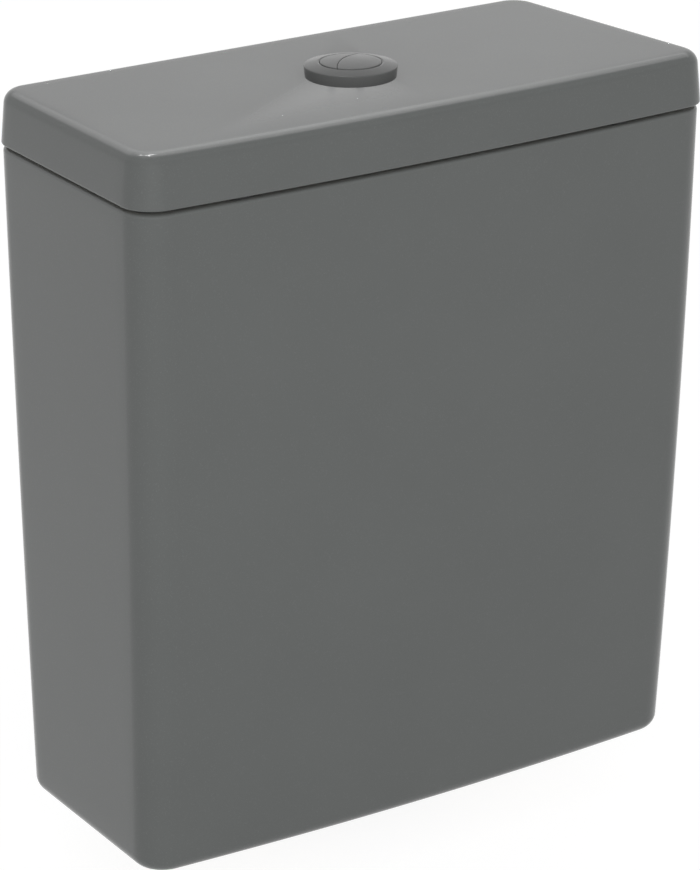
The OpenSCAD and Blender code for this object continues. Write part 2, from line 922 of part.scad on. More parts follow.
// Washer between shank flange and tank floor
module inlet_washer() {
    color("#1d1d1d")
    translate([fill_x, 0, 0])
        ring(inlet_r + 7, inlet_r + thread_gap, floor_t, flange_z);
}

// Back nut of the fill valve
module inlet_nut() {
    color("#e4e4df")
    translate([fill_x, 0, 0])
        difference() {
            union() {
                rod(inlet_r + 7.5, -2.5, 0);
                translate([0, 0, -inlet_nut_h])
                    cylinder(r = inlet_r + 6.5, h = inlet_nut_h - 2, $fn = 6);
            }
            rod(inlet_core_r + thread_gap, -inlet_nut_h - 3, 1);
        }
}

// Strainer in the inlet
module inlet_filter() {
    color("#f2f2ee")
    translate([fill_x, 0, 0])
        difference() {
            rod(inlet_bore_r - thread_gap, -inlet_drop, -inlet_drop + 18);
            rod(inlet_bore_r - 1.3, -inlet_drop - 1, -inlet_drop + 16.5);
            for (a = [0, 60, 120])
                rotate([0, 0, a])
                    box([-inlet_bore_r - 1, -0.8, -inlet_drop + 4],
                        [inlet_bore_r + 1, 0.8, -inlet_drop + 14]);
        }
}

// Collar that locks the riser's height
module riser_collar() {
    color("#3f6fae")
    translate([fill_x, 0, 0])
        union() {
            ring(riser_r + 3, stem_r + thread_gap, collar_mid, riser_low);
            ring(riser_r + 1, stem_r + thread_gap, collar_low, collar_mid);
        }
}

// Riser of the fill valve
module fill_riser() {
    color("#f0f0ec")
    translate([fill_x, 0, 0])
        difference() {
            union() {
                rod(riser_r, riser_low, cap_z);
                rod(riser_r + 2.5, cup_z - 4 - slide_gap, cup_z - slide_gap);
            }
            rod(stem_r + thread_gap, riser_low - 1, cap_z - 10);
            rod(riser_r - 2, cap_z - 6, cap_z + 1);
            rod(3, cap_z - 11, cap_z);
            box([-riser_r - 1, -3, slot_low], [riser_r + 1, 3, slot_high]);
        }
}

// Diaphragm under the cap
module diaphragm() {
    color("#1d1d1d")
    translate([fill_x, 0, 0])
        union() {
            rod(riser_r - 2.2, cap_z - 3, cap_z);
            rod(5, cap_z - 6, cap_z - 3);
        }
}

// Cap of the fill valve with the lever's cheeks and the pilot nozzle
module fill_valve_cap() {
    color("#3f6fae")
    difference() {
        union() {
            translate([fill_x, 0, 0])
                rod(cap_r, cap_z, cap_top);
            for (s = [-1, 1])
                box([lever_x - 6, s * 4.6 - 1.6, cap_top - 1], [lever_x + 6, s * 4.6 + 1.6, lever_z + 5]);
            translate([lever_x + 7, 0, 0])
                rod(2, cap_top - 1, lever_z - 5);
        }
        cross_pin(lever_pin_r, lever_x, lever_z, -12, 12);
    }
}

// Float cup, at its low stop
module float_cup() {
    top = cup_z + cup_h;
    color("#e8e3d0")
    difference() {
        union() {
            translate([fill_x, 0, 0])
                rod(cup_r, cup_z, top);
            box([link_x - 5, -5, top - 9], [fill_x - cup_r + 4, 5, top]);
        }
        translate([fill_x, 0, 0])
            rod(riser_r + slide_gap, cup_z - 1, top + 1);
        translate([fill_x, 0, 0])
            ring(cup_r - 2.5, riser_r + 3, cup_z - 1, top - 3);
        translate([link_x, 0, 0])
            rod(2 + thread_gap, top - 12, top + 3);
    }
}

// Adjusting rod from the cup to the lever, with its fork and pin
module float_rod() {
    top = cup_z + cup_h;
    color("#3f6fae")
    translate([link_x, 0, 0])
        union() {
            rod(2, top - 14, link_z - 7);
            box([-3, -5.2, link_z - 10], [3, 5.2, link_z - 7]);
            for (s = [-1, 1])
                box([-3, s * 4.2 - 1, link_z - 8], [3, s * 4.2 + 1, link_z + 3]);
            cross_pin(1.5, 0, link_z, -4, 4);
        }
}

// Float lever, at rest with the cup low
module float_lever() {
    slot = 1.5 + slide_gap;
    color("#f0f0ec")
    translate([lever_x, 0, lever_z])
        rotate([0, -lever_half, 0])
            difference() {
                union() {
                    cross_pin(lever_pin_r + 2.5, 0, 0, -2.5, 2.5);
                    box([-lever_arm - 3, -2.5, -2.2], [9, 2.5, 2.2]);
                    cross_pin(4, -lever_arm - 0.6, 0, -2.5, 2.5);
                }
                cross_pin(lever_pin_r + pin_gap, 0, 0, -4, 4);
                cross_pin(slot, -lever_arm + 0.3, 0, -4, 4);
                cross_pin(slot, -lever_arm - 1.5, 0, -4, 4);
                box([-lever_arm - 1.5, -4, -slot], [-lever_arm + 0.3, 4, slot]);
            }
}

// Pin of the float lever
module lever_pin() {
    color("#b9bcc0")
    cross_pin(lever_pin_r, lever_x, lever_z, -6.2, 6.2);
}

// Bolts to the pan
module pan_bolts() {
    color("#b98f4a")
    at_bolts()
        difference() {
            union() {
                rod(bolt_r, -bolt_drop, bolt_nut_low - 0.2);
                rod(bolt_core_r, bolt_nut_low - 0.2, floor_t + cone_washer_t + 2);
                rod(bolt_r + 4, floor_t + cone_washer_t + 1.5, floor_t + cone_washer_t + 6);
            }
            box([-bolt_r - 5, -0.8, floor_t + cone_washer_t + 4],
                [bolt_r + 5, 0.8, floor_t + cone_washer_t + 7]);
        }
}

// Cone washers inside the tank
module bolt_cone_washers() {
    color("#1d1d1d")
    at_bolts()
        rotate_extrude()
            polygon([[bolt_r + thread_gap, floor_t],
                     [bolt_washer_r, floor_t],
                     [bolt_washer_r, floor_t + 2],
                     [bolt_washer_r - 3, floor_t + cone_washer_t],
                     [bolt_r + thread_gap, floor_t + cone_washer_t]]);
}

// Steel washers under the bolt heads
module bolt_inner_washers() {
    color("#b9bcc0")
    at_bolts()
        ring(bolt_washer_r - 3.2, bolt_r + thread_gap, floor_t + cone_washer_t,
             floor_t + cone_washer_t + 1.5);
}

// Rubber washers under the tank
module bolt_rubber_washers() {
    color("#1d1d1d")
    at_bolts()
        ring(bolt_washer_r, bolt_r + thread_gap, -rubber_washer_t, 0);
}

// Steel plate washers under the tank
module bolt_plate_washers() {
    color("#b9bcc0")
    at_bolts()
        ring(bolt_washer_r - 1, bolt_r + thread_gap, -rubber_washer_t - plate_washer_t, -rubber_washer_t);
}

// Nuts that hold the bolts in the tank
module bolt_nuts() {
    color("#b98f4a")
    at_bolts()
        difference() {
            translate([0, 0, bolt_nut_low])
                cylinder(r = bolt_r * 1.9, h = bolt_nut_h, $fn = 6);
            rod(bolt_core_r + thread_gap, bolt_nut_low - 1, 0);
        }
}

tank();
lid();
lid_pads();
button_bezel();
bezel_washer();
sleeve_nut();
button_carrier();
full_flush_button();
half_flush_button();
full_flush_rod();
half_flush_rod();
full_flush_spring();
half_flush_spring();
valve_base();
outlet_washer();
outlet_nut();
pan_seal();
valve_cage();
head_posts();
float_guide();
valve_head();
rocker_pins();
full_rocker();
half_rocker();
overflow_tube();
main_seal();
seal_clamp();
lift_yoke();
full_flush_float();
half_flush_float();
half_pull_rod();
inlet_shank();
inlet_washer();
inlet_nut();
inlet_filter();
riser_collar();
fill_riser();
diaphragm();
fill_valve_cap();
float_cup();
float_rod();
float_lever();
lever_pin();
pan_bolts();
bolt_cone_washers();
bolt_inner_washers();
bolt_rubber_washers();
bolt_plate_washers();
bolt_nuts();
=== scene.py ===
"""Looks of a close-coupled toilet cistern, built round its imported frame."""

import json
import math

import bmesh
import bpy
from bpy.props import FloatProperty, FloatVectorProperty, IntProperty, PointerProperty
from mathutils import Matrix, Vector


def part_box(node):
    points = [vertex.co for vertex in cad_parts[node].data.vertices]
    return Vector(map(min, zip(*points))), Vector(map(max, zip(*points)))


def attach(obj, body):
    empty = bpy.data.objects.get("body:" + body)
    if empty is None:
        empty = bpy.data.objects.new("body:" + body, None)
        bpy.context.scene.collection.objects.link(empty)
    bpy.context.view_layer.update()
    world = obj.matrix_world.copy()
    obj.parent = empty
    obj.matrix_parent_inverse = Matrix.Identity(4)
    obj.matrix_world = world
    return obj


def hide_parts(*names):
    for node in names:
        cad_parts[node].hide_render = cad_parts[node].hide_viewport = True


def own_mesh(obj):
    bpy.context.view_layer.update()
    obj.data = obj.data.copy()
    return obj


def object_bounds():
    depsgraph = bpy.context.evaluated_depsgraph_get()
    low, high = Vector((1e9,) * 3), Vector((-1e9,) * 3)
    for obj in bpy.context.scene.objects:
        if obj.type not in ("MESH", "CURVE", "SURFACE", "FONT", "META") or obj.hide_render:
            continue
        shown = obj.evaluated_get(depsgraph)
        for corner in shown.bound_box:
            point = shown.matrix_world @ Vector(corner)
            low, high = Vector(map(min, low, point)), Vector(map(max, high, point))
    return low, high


bl_info = {
    "name": "Toilet cistern",
    "version": (1, 0, 0),
    "blender": (4, 5, 0),
    "location": "3D View > Sidebar > Cistern",
    "description": "Builds the glazed shell, the button set and the valves of a close-coupled cistern",
    "category": "Add Mesh",
}

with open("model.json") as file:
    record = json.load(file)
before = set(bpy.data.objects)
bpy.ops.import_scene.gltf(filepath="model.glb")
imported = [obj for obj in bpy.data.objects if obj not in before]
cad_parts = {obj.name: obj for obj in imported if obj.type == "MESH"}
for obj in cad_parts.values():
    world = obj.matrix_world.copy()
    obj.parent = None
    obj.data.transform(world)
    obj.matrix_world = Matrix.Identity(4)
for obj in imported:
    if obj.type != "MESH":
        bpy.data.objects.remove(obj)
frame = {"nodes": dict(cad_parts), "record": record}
CAD_BOX = [list(corner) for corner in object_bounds()]
BODY_OF = {node: body for body, nodes in frame["record"]["behaviour"]["bodies"].items() for node in nodes}
SLOT_OF = {part["node"]: part["material_slot"] for part in frame["record"]["subparts"]}
MM = 0.001
SAME = 1e-7
TURN_STEPS = 96
EDGE_STEPS = 9
FRAME_LONG_SIDE_PX = 870
SENSOR = 36.0


def number(name, description, value, **more):
    """A number that a user may change."""
    return FloatProperty(name=name, description=description, default=value, **more)


def length(name, description, value):
    """A length, in metres, that a user may change."""
    return number(name, description, value, unit="LENGTH", precision=5)


def colour(name, description, value):
    """A colour that a user may change."""
    return FloatVectorProperty(name=name, description=description, default=value, subtype="COLOR",
                               size=3, min=0.0, max=1.0)


class ShellSizes(bpy.types.PropertyGroup):
    """Sizes of the ceramic tank and lid."""

    lid_front_w: length("Lid front width", "Width of the lid across its front corners", 0.370)
    lid_back_w: length("Lid back width", "Width of the lid across its back corners", 0.349)
    lid_depth: length("Lid depth", "Depth of the lid, back to front corners", 0.163)
    lid_bow: length("Lid bow", "How far the front bows forward at the lid", 0.005)
    lid_low: length("Lid underside", "Height of the lid's lower edge", 0.373)
    lid_top: length("Lid top", "Height of the lid's top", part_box("lid")[1].z)
    lid_t: length("Lid thickness", "Thickness of the lid's top", 0.010)
    lid_edge_r: length("Lid edge", "Radius of the lid's top edge", 0.0075)
    lid_draft: length("Lid draft", "How far the lid's sides lean in below the top edge", 0.0018)
    rib_t: length("Rib width", "Width of the rib under the lid", 0.006)
    rib_drop: length("Rib drop", "Drop of the rib into the tank", 0.008)
    rib_clear: length("Rib clearance", "Side clearance of the rib in the tank", 0.0023)
    tank_h: length("Tank height", "Height of the tank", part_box("tank")[1].z)
    base_front_w: length("Base front width", "Width of the base across its front corners", 0.3525)
    base_back_w: length("Base back width", "Width of the base across its back corners", 0.3315)
    base_depth: length("Base depth", "Depth of the base, back to front corners", 0.1445)
    base_bow: length("Base bow", "How far the front bows forward at the base", 0.0065)
    base_setback: length("Base setback", "How far the back leans forward at the base", 0.004)
    taper_gather: number("Taper gather", "How far the taper gathers to the base", 0.4, min=0.0, max=0.6)
    corner_r: length("Corner radius", "Radius of the upright corners in plan", 0.018)
    base_edge_r: length("Base edge", "Radius of the edge round the base", 0.0085)
    rim_inset: length("Rim step", "Step of the rim behind the lid's edge", 0.0012)
    rim_r: length("Rim rounding", "Rounding of the rim", 0.002)
    wall_t: length("Wall", "Ceramic wall thickness", 0.009)
    floor_t: length("Floor", "Ceramic floor thickness", 0.011)
    floor_r: length("Floor radius", "Radius where walls meet the floor inside", 0.008)
    back_y: length("Back", "Distance from the outlet axis to the lid's back", 0.085)
    hole_round: length("Hole rounding", "Rounding of the edges of the holes", 0.0012)


class ButtonSizes(bpy.types.PropertyGroup):
    """Sizes of the bezel and the two flush buttons."""

    bezel_edge_h: length("Bezel edge", "Height of the bezel's outer edge above the lid", 0.00625)
    bezel_lean: length("Bezel lean", "How far the bezel's wall draws in towards the lid", 0.0006)
    sleeve_in_r: length("Sleeve bore", "Inner radius of the bezel and its sleeve", 0.0168)
    sleeve_wall: length("Sleeve wall", "Wall of the threaded sleeve", 0.0022)
    slit: length("Slit", "Slit round and between the buttons", 0.0005)
    dome: length("Dome", "Rise of the buttons from their edge to their middle", 0.0009)
    skirt: length("Skirt", "Depth of the buttons' skirt", 0.014)
    wall: length("Button wall", "Wall of the buttons", 0.0016)
    edge_r: length("Button edge", "Rounding of the buttons' upper edge", 0.0003)
    split_r: length("Split radius", "Radius of the curved slit between the buttons", 0.040)
    split_reach: length("Split reach", "Distance of that slit from the buttons' centre", 0.005)
    split_angle: number("Split angle", "Direction to the smaller button", math.radians(125), unit="ROTATION")
    spring_wire_r: length("Spring wire", "Wire radius of the button springs", 0.00045)
    spring_curls: IntProperty(name="Spring curls", description="Open curls of each spring", default=4, min=3)


class FinishColours(bpy.types.PropertyGroup):
    """Base colours of the finishes."""

    glaze: colour("Glaze", "Dark grey glaze of tank and lid", (0.097, 0.102, 0.100))
    clay: colour("Clay", "Bare fired clay under the tank and on the lid's seat", (0.62, 0.58, 0.52))
    lacquer: colour("Lacquer", "Grey lacquer of bezel and buttons", (0.108, 0.1098, 0.109))
    white: colour("White plastic", "Moulded white pieces", (0.78, 0.78, 0.75))
    blue: colour("Blue plastic", "Moulded blue pieces", (0.045, 0.14, 0.38))
    cream: colour("Float plastic", "Cream floats", (0.74, 0.70, 0.58))
    rubber: colour("Black rubber", "Washers and seals", (0.022, 0.022, 0.023))
    red: colour("Red rubber", "Main seal", (0.30, 0.045, 0.035))
    steel: colour("Steel", "Plated steel pins, springs and washers", (0.60, 0.61, 0.63))
    brass: colour("Brass", "Turned brass bolts and nuts", (0.60, 0.42, 0.16))


class StageValues(bpy.types.PropertyGroup):
    """Camera and light."""

    azimuth: number("Camera azimuth", "Turn of the camera round the cistern", math.radians(-34.967), unit="ROTATION")
    elevation: number("Camera elevation", "Camera angle above the horizon", math.radians(20.005), unit="ROTATION")
    distance: length("Camera distance", "Distance from the camera to its target", 2.304221)
    target: FloatVectorProperty(name="Camera target", description="Point in the middle of the picture",
                                default=(0.001447, 0.005, 0.194265), subtype="XYZ", unit="LENGTH")
    focal_px: number("Focal length", "Focal length in picture elements", 4190.374, min=100.0)
    sky: number("Sky", "Strength of the even light from all round", 0.55)
    fill: number("Fill lamp", "Power of the soft lamp in front", 64.0, unit="POWER")
    shine: number("Shine panels", "Brightness of the panels that only reflections show", 1.0, min=0.0)
    spark: number("Small lamps", "Power of each small ceiling lamp", 4.0, unit="POWER")
    floor_glow: number("Floor glow", "Share of the floor that shows plain white", 0.8, min=0.0, max=1.0)


class Nodes:
    """A node tree under way, of a material or of the world."""

    def __init__(self, owner):
        owner.use_nodes = True
        self.tree = owner.node_tree
        self.tree.nodes.clear()

    def add(self, kind, sockets=None, **settings):
        """A new node with its settings and sockets."""
        node = self.tree.nodes.new(kind)
        for name, value in settings.items():
            setattr(node, name, value)
        self.feed(node, sockets or {})
        return node

    def feed(self, node, sockets):
        """Gives each named socket of a node its value, or a link from another socket."""
        for name, value in sockets.items():
            if isinstance(value, bpy.types.NodeSocket):
                self.tree.links.new(value, node.inputs[name])
            else:
                node.inputs[name].default_value = value

    def largest(self, first, second):
        """The larger of two values."""
        return self.add("ShaderNodeMath", {0: first, 1: second}, operation="MAXIMUM").outputs["Value"]

    def blend(self, share, first, second):
        """Two shaders blended by a share."""
        return self.add("ShaderNodeMixShader", {"Fac": share, 1: first.outputs[0], 2: second.outputs[0]})


class Finish(Nodes):
    """A material under way, with its patterns on object coordinates."""

    def __init__(self, name, roughness, metallic=0.0):
        self.material = bpy.data.materials.new(name)
        super().__init__(self.material)
        self.shader = self.add("ShaderNodeBsdfPrincipled", {"Roughness": roughness, "Metallic": metallic})
        self.add("ShaderNodeOutputMaterial", {"Surface": self.shader.outputs["BSDF"]})
        self.place = self.add("ShaderNodeTexCoord").outputs["Object"]

    def gloss(self, level):
        """Strength of the mirror layer."""
        self.feed(self.shader, {"Specular IOR Level": level})

    def stretched(self, scale):
        """Object coordinates stretched by a scale along each axis."""
        return self.add("ShaderNodeMapping", {"Scale": scale, "Vector": self.place}).outputs["Vector"]

    def cloud(self, per_metre, detail, place=None):
        """Soft noise, in cells per metre."""
        sockets = {"Scale": per_metre, "Detail": detail, "Vector": place or self.place}
        return self.add("ShaderNodeTexNoise", sockets).outputs["Fac"]

    def cells(self, per_metre):
        """Distance to the middle of the nearest cell."""
        return self.add("ShaderNodeTexVoronoi", {"Scale": per_metre, "Vector": self.place}).outputs["Distance"]

    def height(self):
        """Height above the origin."""
        return self.add("ShaderNodeSeparateXYZ", {"Vector": self.place}).outputs["Z"]

    def mark(self, name):
        """A value kept on the mesh's own points."""
        return self.add("ShaderNodeAttribute", attribute_name=name).outputs["Fac"]

    def spread(self, value, low, high, to_low=0.0, to_high=1.0):
        """A value moved from one range to another."""
        sockets = {"Value": value, "From Min": low, "From Max": high, "To Min": to_low, "To Max": to_high}
        return self.add("ShaderNodeMapRange", sockets).outputs["Result"]

    def mixed(self, share, first, second):
        """Two colours, or a colour and a socket, mixed by a share."""
        first, second = (tone if isinstance(tone, bpy.types.NodeSocket) else (*tone, 1.0) for tone in (first, second))
        sockets = {"Factor": share, "A": first, "B": second}
        return self.add("ShaderNodeMix", sockets, data_type="RGBA").outputs["Result"]

    def bump(self, value, depth, under=None):
        """Fine relief of a given depth in metres, over an earlier one."""
        sockets = {"Strength": 1.0, "Distance": depth, "Height": value}
        if under:
            sockets["Normal"] = under
        return self.add("ShaderNodeBump", sockets).outputs["Normal"]

    def done(self, tone, roughness, relief):
        """Links the patterns to the shader and gives the material."""
        self.feed(self.shader, {"Base Color": tone, "Roughness": roughness, "Normal": relief})
        return self.material


def shade(tone, factor):
    """A colour made lighter or darker."""
    return tuple(min(1.0, part * factor) for part in tone)


def glaze_finish(colours):
    """Fired dark grey glaze, thin and paler on edges, with a paler colour painted on the tank's rim top to lighten
    the shaded seam under the lid, and bare clay where the kiln shelf or lid seat was.
    """
    finish = Finish("dark_grey_glaze", 0.2)
    finish.gloss(0.3)
    depth = finish.cloud(13.0, 3.0)
    specks = finish.cloud(1400.0, 1.0)
    tone = finish.mixed(depth, shade(colours.glaze, 0.95), shade(colours.glaze, 1.05))
    tone = finish.mixed(finish.spread(specks, 0.60, 0.74, 0.0, 0.22), tone, shade(colours.glaze, 1.7))
    # Paler where marked: glaze breaking thin on edges, and on the tank's rim top partly thin glaze and partly painted
    # light that lightens the shaded seam under the lid.
    tone = finish.mixed(finish.spread(finish.mark("thin_glaze_and_seam_light"), 0.0, 1.0, 0.0, 0.8), tone,
                        shade(colours.glaze, 1.9))
    under = finish.spread(finish.height(), 0.0004, 0.0012, 1.0, 0.0)
    bare = finish.largest(under, finish.mark("raw"))
    grain = finish.cloud(900.0, 4.0)
    clay = finish.mixed(grain, shade(colours.clay, 0.8), shade(colours.clay, 1.1))
    tone = finish.mixed(bare, tone, clay)
    gloss = finish.spread(depth, 0.3, 0.7, 0.17, 0.23)
    rough = finish.largest(gloss, finish.spread(bare, 0.0, 1.0, 0.0, 0.85))
    ripple = finish.bump(finish.cloud(70.0, 2.0), 0.00002)
    relief = finish.bump(finish.cloud(420.0, 1.0), 0.000006, ripple)
    return finish.done(tone, rough, relief)


def lacquer_finish(colours):
    """Satin grey lacquer over moulded plastic, with a faint fleck."""
    finish = Finish("grey_lacquer", 0.23)
    finish.gloss(0.25)
    fleck = finish.cloud(2600.0, 1.0)
    tone = finish.mixed(fleck, shade(colours.lacquer, 0.9), shade(colours.lacquer, 1.1))
    rough = finish.spread(finish.cloud(90.0, 3.0), 0.3, 0.7, 0.2, 0.27)
    relief = finish.bump(finish.cloud(1500.0, 2.0), 0.000003)
    return finish.done(tone, rough, relief)


def moulded_finish(name, tone, roughness):
    """Injection-moulded plastic with flow clouds and a fine tool grain."""
    finish = Finish(name, roughness)
    flow = finish.cloud(26.0, 3.0)
    base = finish.mixed(flow, shade(tone, 0.93), shade(tone, 1.05))
    rough = finish.spread(finish.cloud(180.0, 2.0), 0.3, 0.7, roughness - 0.06, roughness + 0.08)
    relief = finish.bump(finish.cloud(2200.0, 2.0), 0.00001)
    return finish.done(base, rough, relief)


def float_finish(colours):
    """Cream foamed float with the cells of its beads just showing."""
    finish = Finish("cream_float", 0.55)
    beads = finish.cells(330.0)
    tone = finish.mixed(finish.spread(beads, 0.0, 0.8), shade(colours.cream, 1.05), shade(colours.cream, 0.84))
    rough = finish.spread(finish.cloud(120.0, 2.0), 0.3, 0.7, 0.48, 0.64)
    relief = finish.bump(finish.spread(beads, 0.0, 0.8, 1.0, 0.0), 0.00012)
    return finish.done(tone, rough, relief)


def rubber_finish(name, tone):
    """Matt rubber with a dusty bloom and a fine grain."""
    finish = Finish(name, 0.7)
    bloom = finish.spread(finish.cloud(60.0, 5.0), 0.45, 0.8, 0.0, 0.5)
    base = finish.mixed(bloom, tone, shade(tone, 2.2))
    rough = finish.spread(finish.cloud(150.0, 2.0), 0.3, 0.7, 0.6, 0.8)
    relief = finish.bump(finish.cloud(1300.0, 3.0), 0.00003)
    return finish.done(base, rough, relief)


def steel_finish(colours):
    """Zinc-plated steel, clouded and finely drawn."""
    finish = Finish("plated_steel", 0.3, 1.0)
    drawn = finish.cloud(500.0, 2.0, finish.stretched((1.0, 1.0, 0.15)))
    spangle = finish.cloud(160.0, 3.0)
    tone = finish.mixed(spangle, shade(colours.steel, 0.86), shade(colours.steel, 1.08))
    rough = finish.spread(drawn, 0.3, 0.7, 0.24, 0.4)
    return finish.done(tone, rough, finish.bump(drawn, 0.00001))


def brass_finish(colours):
    """Turned brass, a little tarnished."""
    finish = Finish("turned_brass", 0.28, 1.0)
    tarnish = finish.spread(finish.cloud(110.0, 4.0), 0.4, 0.75, 0.0, 0.7)
    lines = finish.cloud(420.0, 1.0, finish.stretched((0.3, 0.3, 6.0)))
    tone = finish.mixed(tarnish, colours.brass, shade(colours.brass, 0.62))
    rough = finish.spread(lines, 0.3, 0.7, 0.2, 0.38)
    return finish.done(tone, rough, finish.bump(lines, 0.00001))


FINISHES = {
    "glaze": glaze_finish,
    "button_lacquer": lacquer_finish,
    "white_plastic": lambda colours: moulded_finish("white_plastic_moulding", colours.white, 0.42),
    "blue_plastic": lambda colours: moulded_finish("blue_plastic_moulding", colours.blue, 0.36),
    "float_plastic": float_finish,
    "black_rubber": lambda colours: rubber_finish("black_rubber_moulding", colours.rubber),
    "red_rubber": lambda colours: rubber_finish("red_rubber_moulding", colours.red),
    "steel": steel_finish,
    "brass": brass_finish,
}
made_finishes = {}


def finish_of(slot):
    """The material of one of the record's slots, made once."""
    if slot not in made_finishes:
        made_finishes[slot] = FINISHES[slot](bpy.context.scene.cistern_colours)
    return made_finishes[slot]


def mix(first, second, share):
    """A value between two others."""
    return first + (second - first) * share


def rounded(points, closed, steps=5):
    """An outline of (across, up) or (across, up, radius) corners, with its corners turned on their radii."""
    line = []
    for k, point in enumerate(points):
        here = Vector(point[:2])
        radius = point[2] if len(point) > 2 else 0.0
        if not radius or (not closed and k in (0, len(points) - 1)):
            line.append(here)
            continue
        back = (Vector(points[k - 1][:2]) - here).normalized()
        ahead = (Vector(points[(k + 1) % len(points)][:2]) - here).normalized()
        half = back.angle(ahead) / 2
        centre = here + (back + ahead).normalized() * (radius / math.sin(half))
        start = here + back * (radius / math.tan(half)) - centre
        end = here + ahead * (radius / math.tan(half)) - centre
        sweep = -start.angle_signed(end)
        line += [centre + Matrix.Rotation(sweep * j / steps, 2) @ start for j in range(steps + 1)]
    return line


def stepped(line, longest):
    """An outline whose long stretches have more points."""
    out = [line[0]]
    for start, end in zip(line, line[1:]):
        count = max(1, math.ceil((end - start).length / longest))
        out += [start.lerp(end, j / count) for j in range(1, count + 1)]
    return out


def thread(r, low, high, pitch, depth):
    """Points up the side of a thread, crests on r."""
    turns = int((high - low) / pitch)
    return [(r - depth * inner, low + pitch * (k + up))
            for k in range(turns)
            for up, inner in ((0.05, 1.0), (0.35, 0.0), (0.6, 0.0), (0.9, 1.0))]


def turned(corners, centre=(0.0, 0.0), closed=True, bm=None):
    """A piece turned about an upright axis from an outline of (radius, height, rounding), in millimetres.
    An open outline starts and ends on the axis."""
    solid = bmesh.new()
    points = [solid.verts.new((p.x * MM, 0.0, p.y * MM)) for p in rounded(corners, closed)]
    for start, end in zip(points, points[1:] + points[:1] if closed else points[1:]):
        solid.edges.new((start, end))
    bmesh.ops.spin(solid, geom=solid.verts[:] + solid.edges[:], cent=(0, 0, 0), axis=(0, 0, 1),
                   dvec=(0, 0, 0), angle=math.tau, steps=TURN_STEPS, use_merge=True,
                   use_normal_flip=False, use_duplicate=False)
    bmesh.ops.remove_doubles(solid, verts=solid.verts[:], dist=SAME)
    bmesh.ops.recalc_face_normals(solid, faces=solid.faces[:])
    moved(solid, (*centre, 0.0))
    return joined(bm, solid) if bm else solid


def moved(bm, vec):
    """Moves all of a bmesh."""
    bmesh.ops.translate(bm, vec=vec, verts=bm.verts[:])


def as_mesh(bm, name):
    """A bmesh turned into a mesh."""
    mesh = bpy.data.meshes.new(name)
    bm.to_mesh(mesh)
    bm.free()
    return mesh


def in_scene(name, data):
    """An object in the scene."""
    made = bpy.data.objects.new(name, data)
    bpy.context.scene.collection.objects.link(made)
    return made


def joined(bm, more):
    """One bmesh added to another."""
    mesh = as_mesh(more, "joined")
    bm.from_mesh(mesh)
    bpy.data.meshes.remove(mesh)
    return bm


def carved(bm, tools):
    """A bmesh with the tools cut out of it."""
    block, *cutters = (in_scene("passing", as_mesh(shape, "passing")) for shape in (bm, *tools))
    for cutter in cutters:
        cut = block.modifiers.new("cut", "BOOLEAN")
        cut.operation = "DIFFERENCE"
        cut.solver = "EXACT"
        cut.object = cutter
    left = bmesh.new()
    left.from_object(block, bpy.context.evaluated_depsgraph_get())
    for passing in (block, *cutters):
        bpy.data.objects.remove(passing)
    return left


def bore_tool(r, low, high, edge, centre=(0.0, 0.0)):
    """A cutter for a hole with rounded edges between two heights, in millimetres, reaching just past both faces."""
    past, reach, step = 0.003, 5, 0.01
    low, high, wide = low - past, high + past, r + edge + step
    return turned([(0, low - reach), (wide, low - reach), (wide, low), (r, low, edge), (r, high, edge),
                   (wide, high), (wide, high + reach), (0, high + reach)], centre, closed=False)


def plan_middle(node):
    """The middle of a CAD node in plan."""
    lo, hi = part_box(node)
    return (lo.x + hi.x) / 2, (lo.y + hi.y) / 2


def heights(node):
    """The lowest and highest point of a CAD node, in millimetres."""
    lo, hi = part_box(node)
    return lo.z / MM, hi.z / MM


def stand_in(bm, node, sharp=33.0):
    """Turns a bmesh into the piece that stands for a CAD node and rides with its body."""
    mesh = as_mesh(bm, node + "_mesh")
    mesh.shade_smooth()
    mesh.set_sharp_from_angle(angle=math.radians(sharp))
    mesh.materials.append(finish_of(SLOT_OF[node]))
    piece = in_scene(node + "_piece", mesh)
    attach(piece, BODY_OF[node])
    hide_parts(node)
    return piece


def plan_loop(w, d, r):
    """A bmesh with a closed loop of edges, a rectangle with round corners, whose points keep their place in it."""
    corner_steps, longest = 14, 0.008
    bm = bmesh.new()
    bmesh.ops.create_grid(bm, x_segments=1, y_segments=1, size=1.0)
    bmesh.ops.scale(bm, vec=(w / 2, d / 2, 1.0), verts=bm.verts[:])
    bmesh.ops.bevel(bm, geom=bm.verts[:], offset=r, offset_type="OFFSET", segments=corner_steps,
                    profile=0.5, affect="VERTICES", material=-1)
    bmesh.ops.delete(bm, geom=bm.faces[:], context="FACES_ONLY")
    for edge in [e for e in bm.edges if e.calc_length() > 2 * longest]:
        cuts = int(edge.calc_length() / longest)
        bmesh.ops.subdivide_edges(bm, edges=[edge], cuts=cuts)
    core = bm.verts.layers.float_vector.new("core")
    out = bm.verts.layers.float_vector.new("out")
    half = Vector((w / 2 - r, d / 2 - r))
    for v in bm.verts:
        x = max(-half.x, min(half.x, v.co.x))
        y = max(-half.y, min(half.y, v.co.y))
        v[core] = (x / half.x, y / half.y, 0.0)
        v[out] = ((v.co.x - x) / r, (v.co.y - y) / r, 0.0)
    return bm


def ringed(bm, rings, place):
    """Extrudes the loop in a bmesh ring by ring, puts each ring's points in place and closes both ends."""
    first = loop = bm.edges[:]
    for k, ring in enumerate(rings):
        if k:
            made = bmesh.ops.extrude_edge_only(bm, edges=loop)["geom"]
            loop = [g for g in made if isinstance(g, bmesh.types.BMEdge) and g.is_boundary]
        for v in {v for e in loop for v in e.verts}:
            place(v, *ring)
    bmesh.ops.edgeloop_fill(bm, edges=first)
    bmesh.ops.edgeloop_fill(bm, edges=loop)
    bmesh.ops.remove_doubles(bm, verts=bm.verts[:], dist=SAME)
    bmesh.ops.recalc_face_normals(bm, faces=bm.faces[:])
    return bm


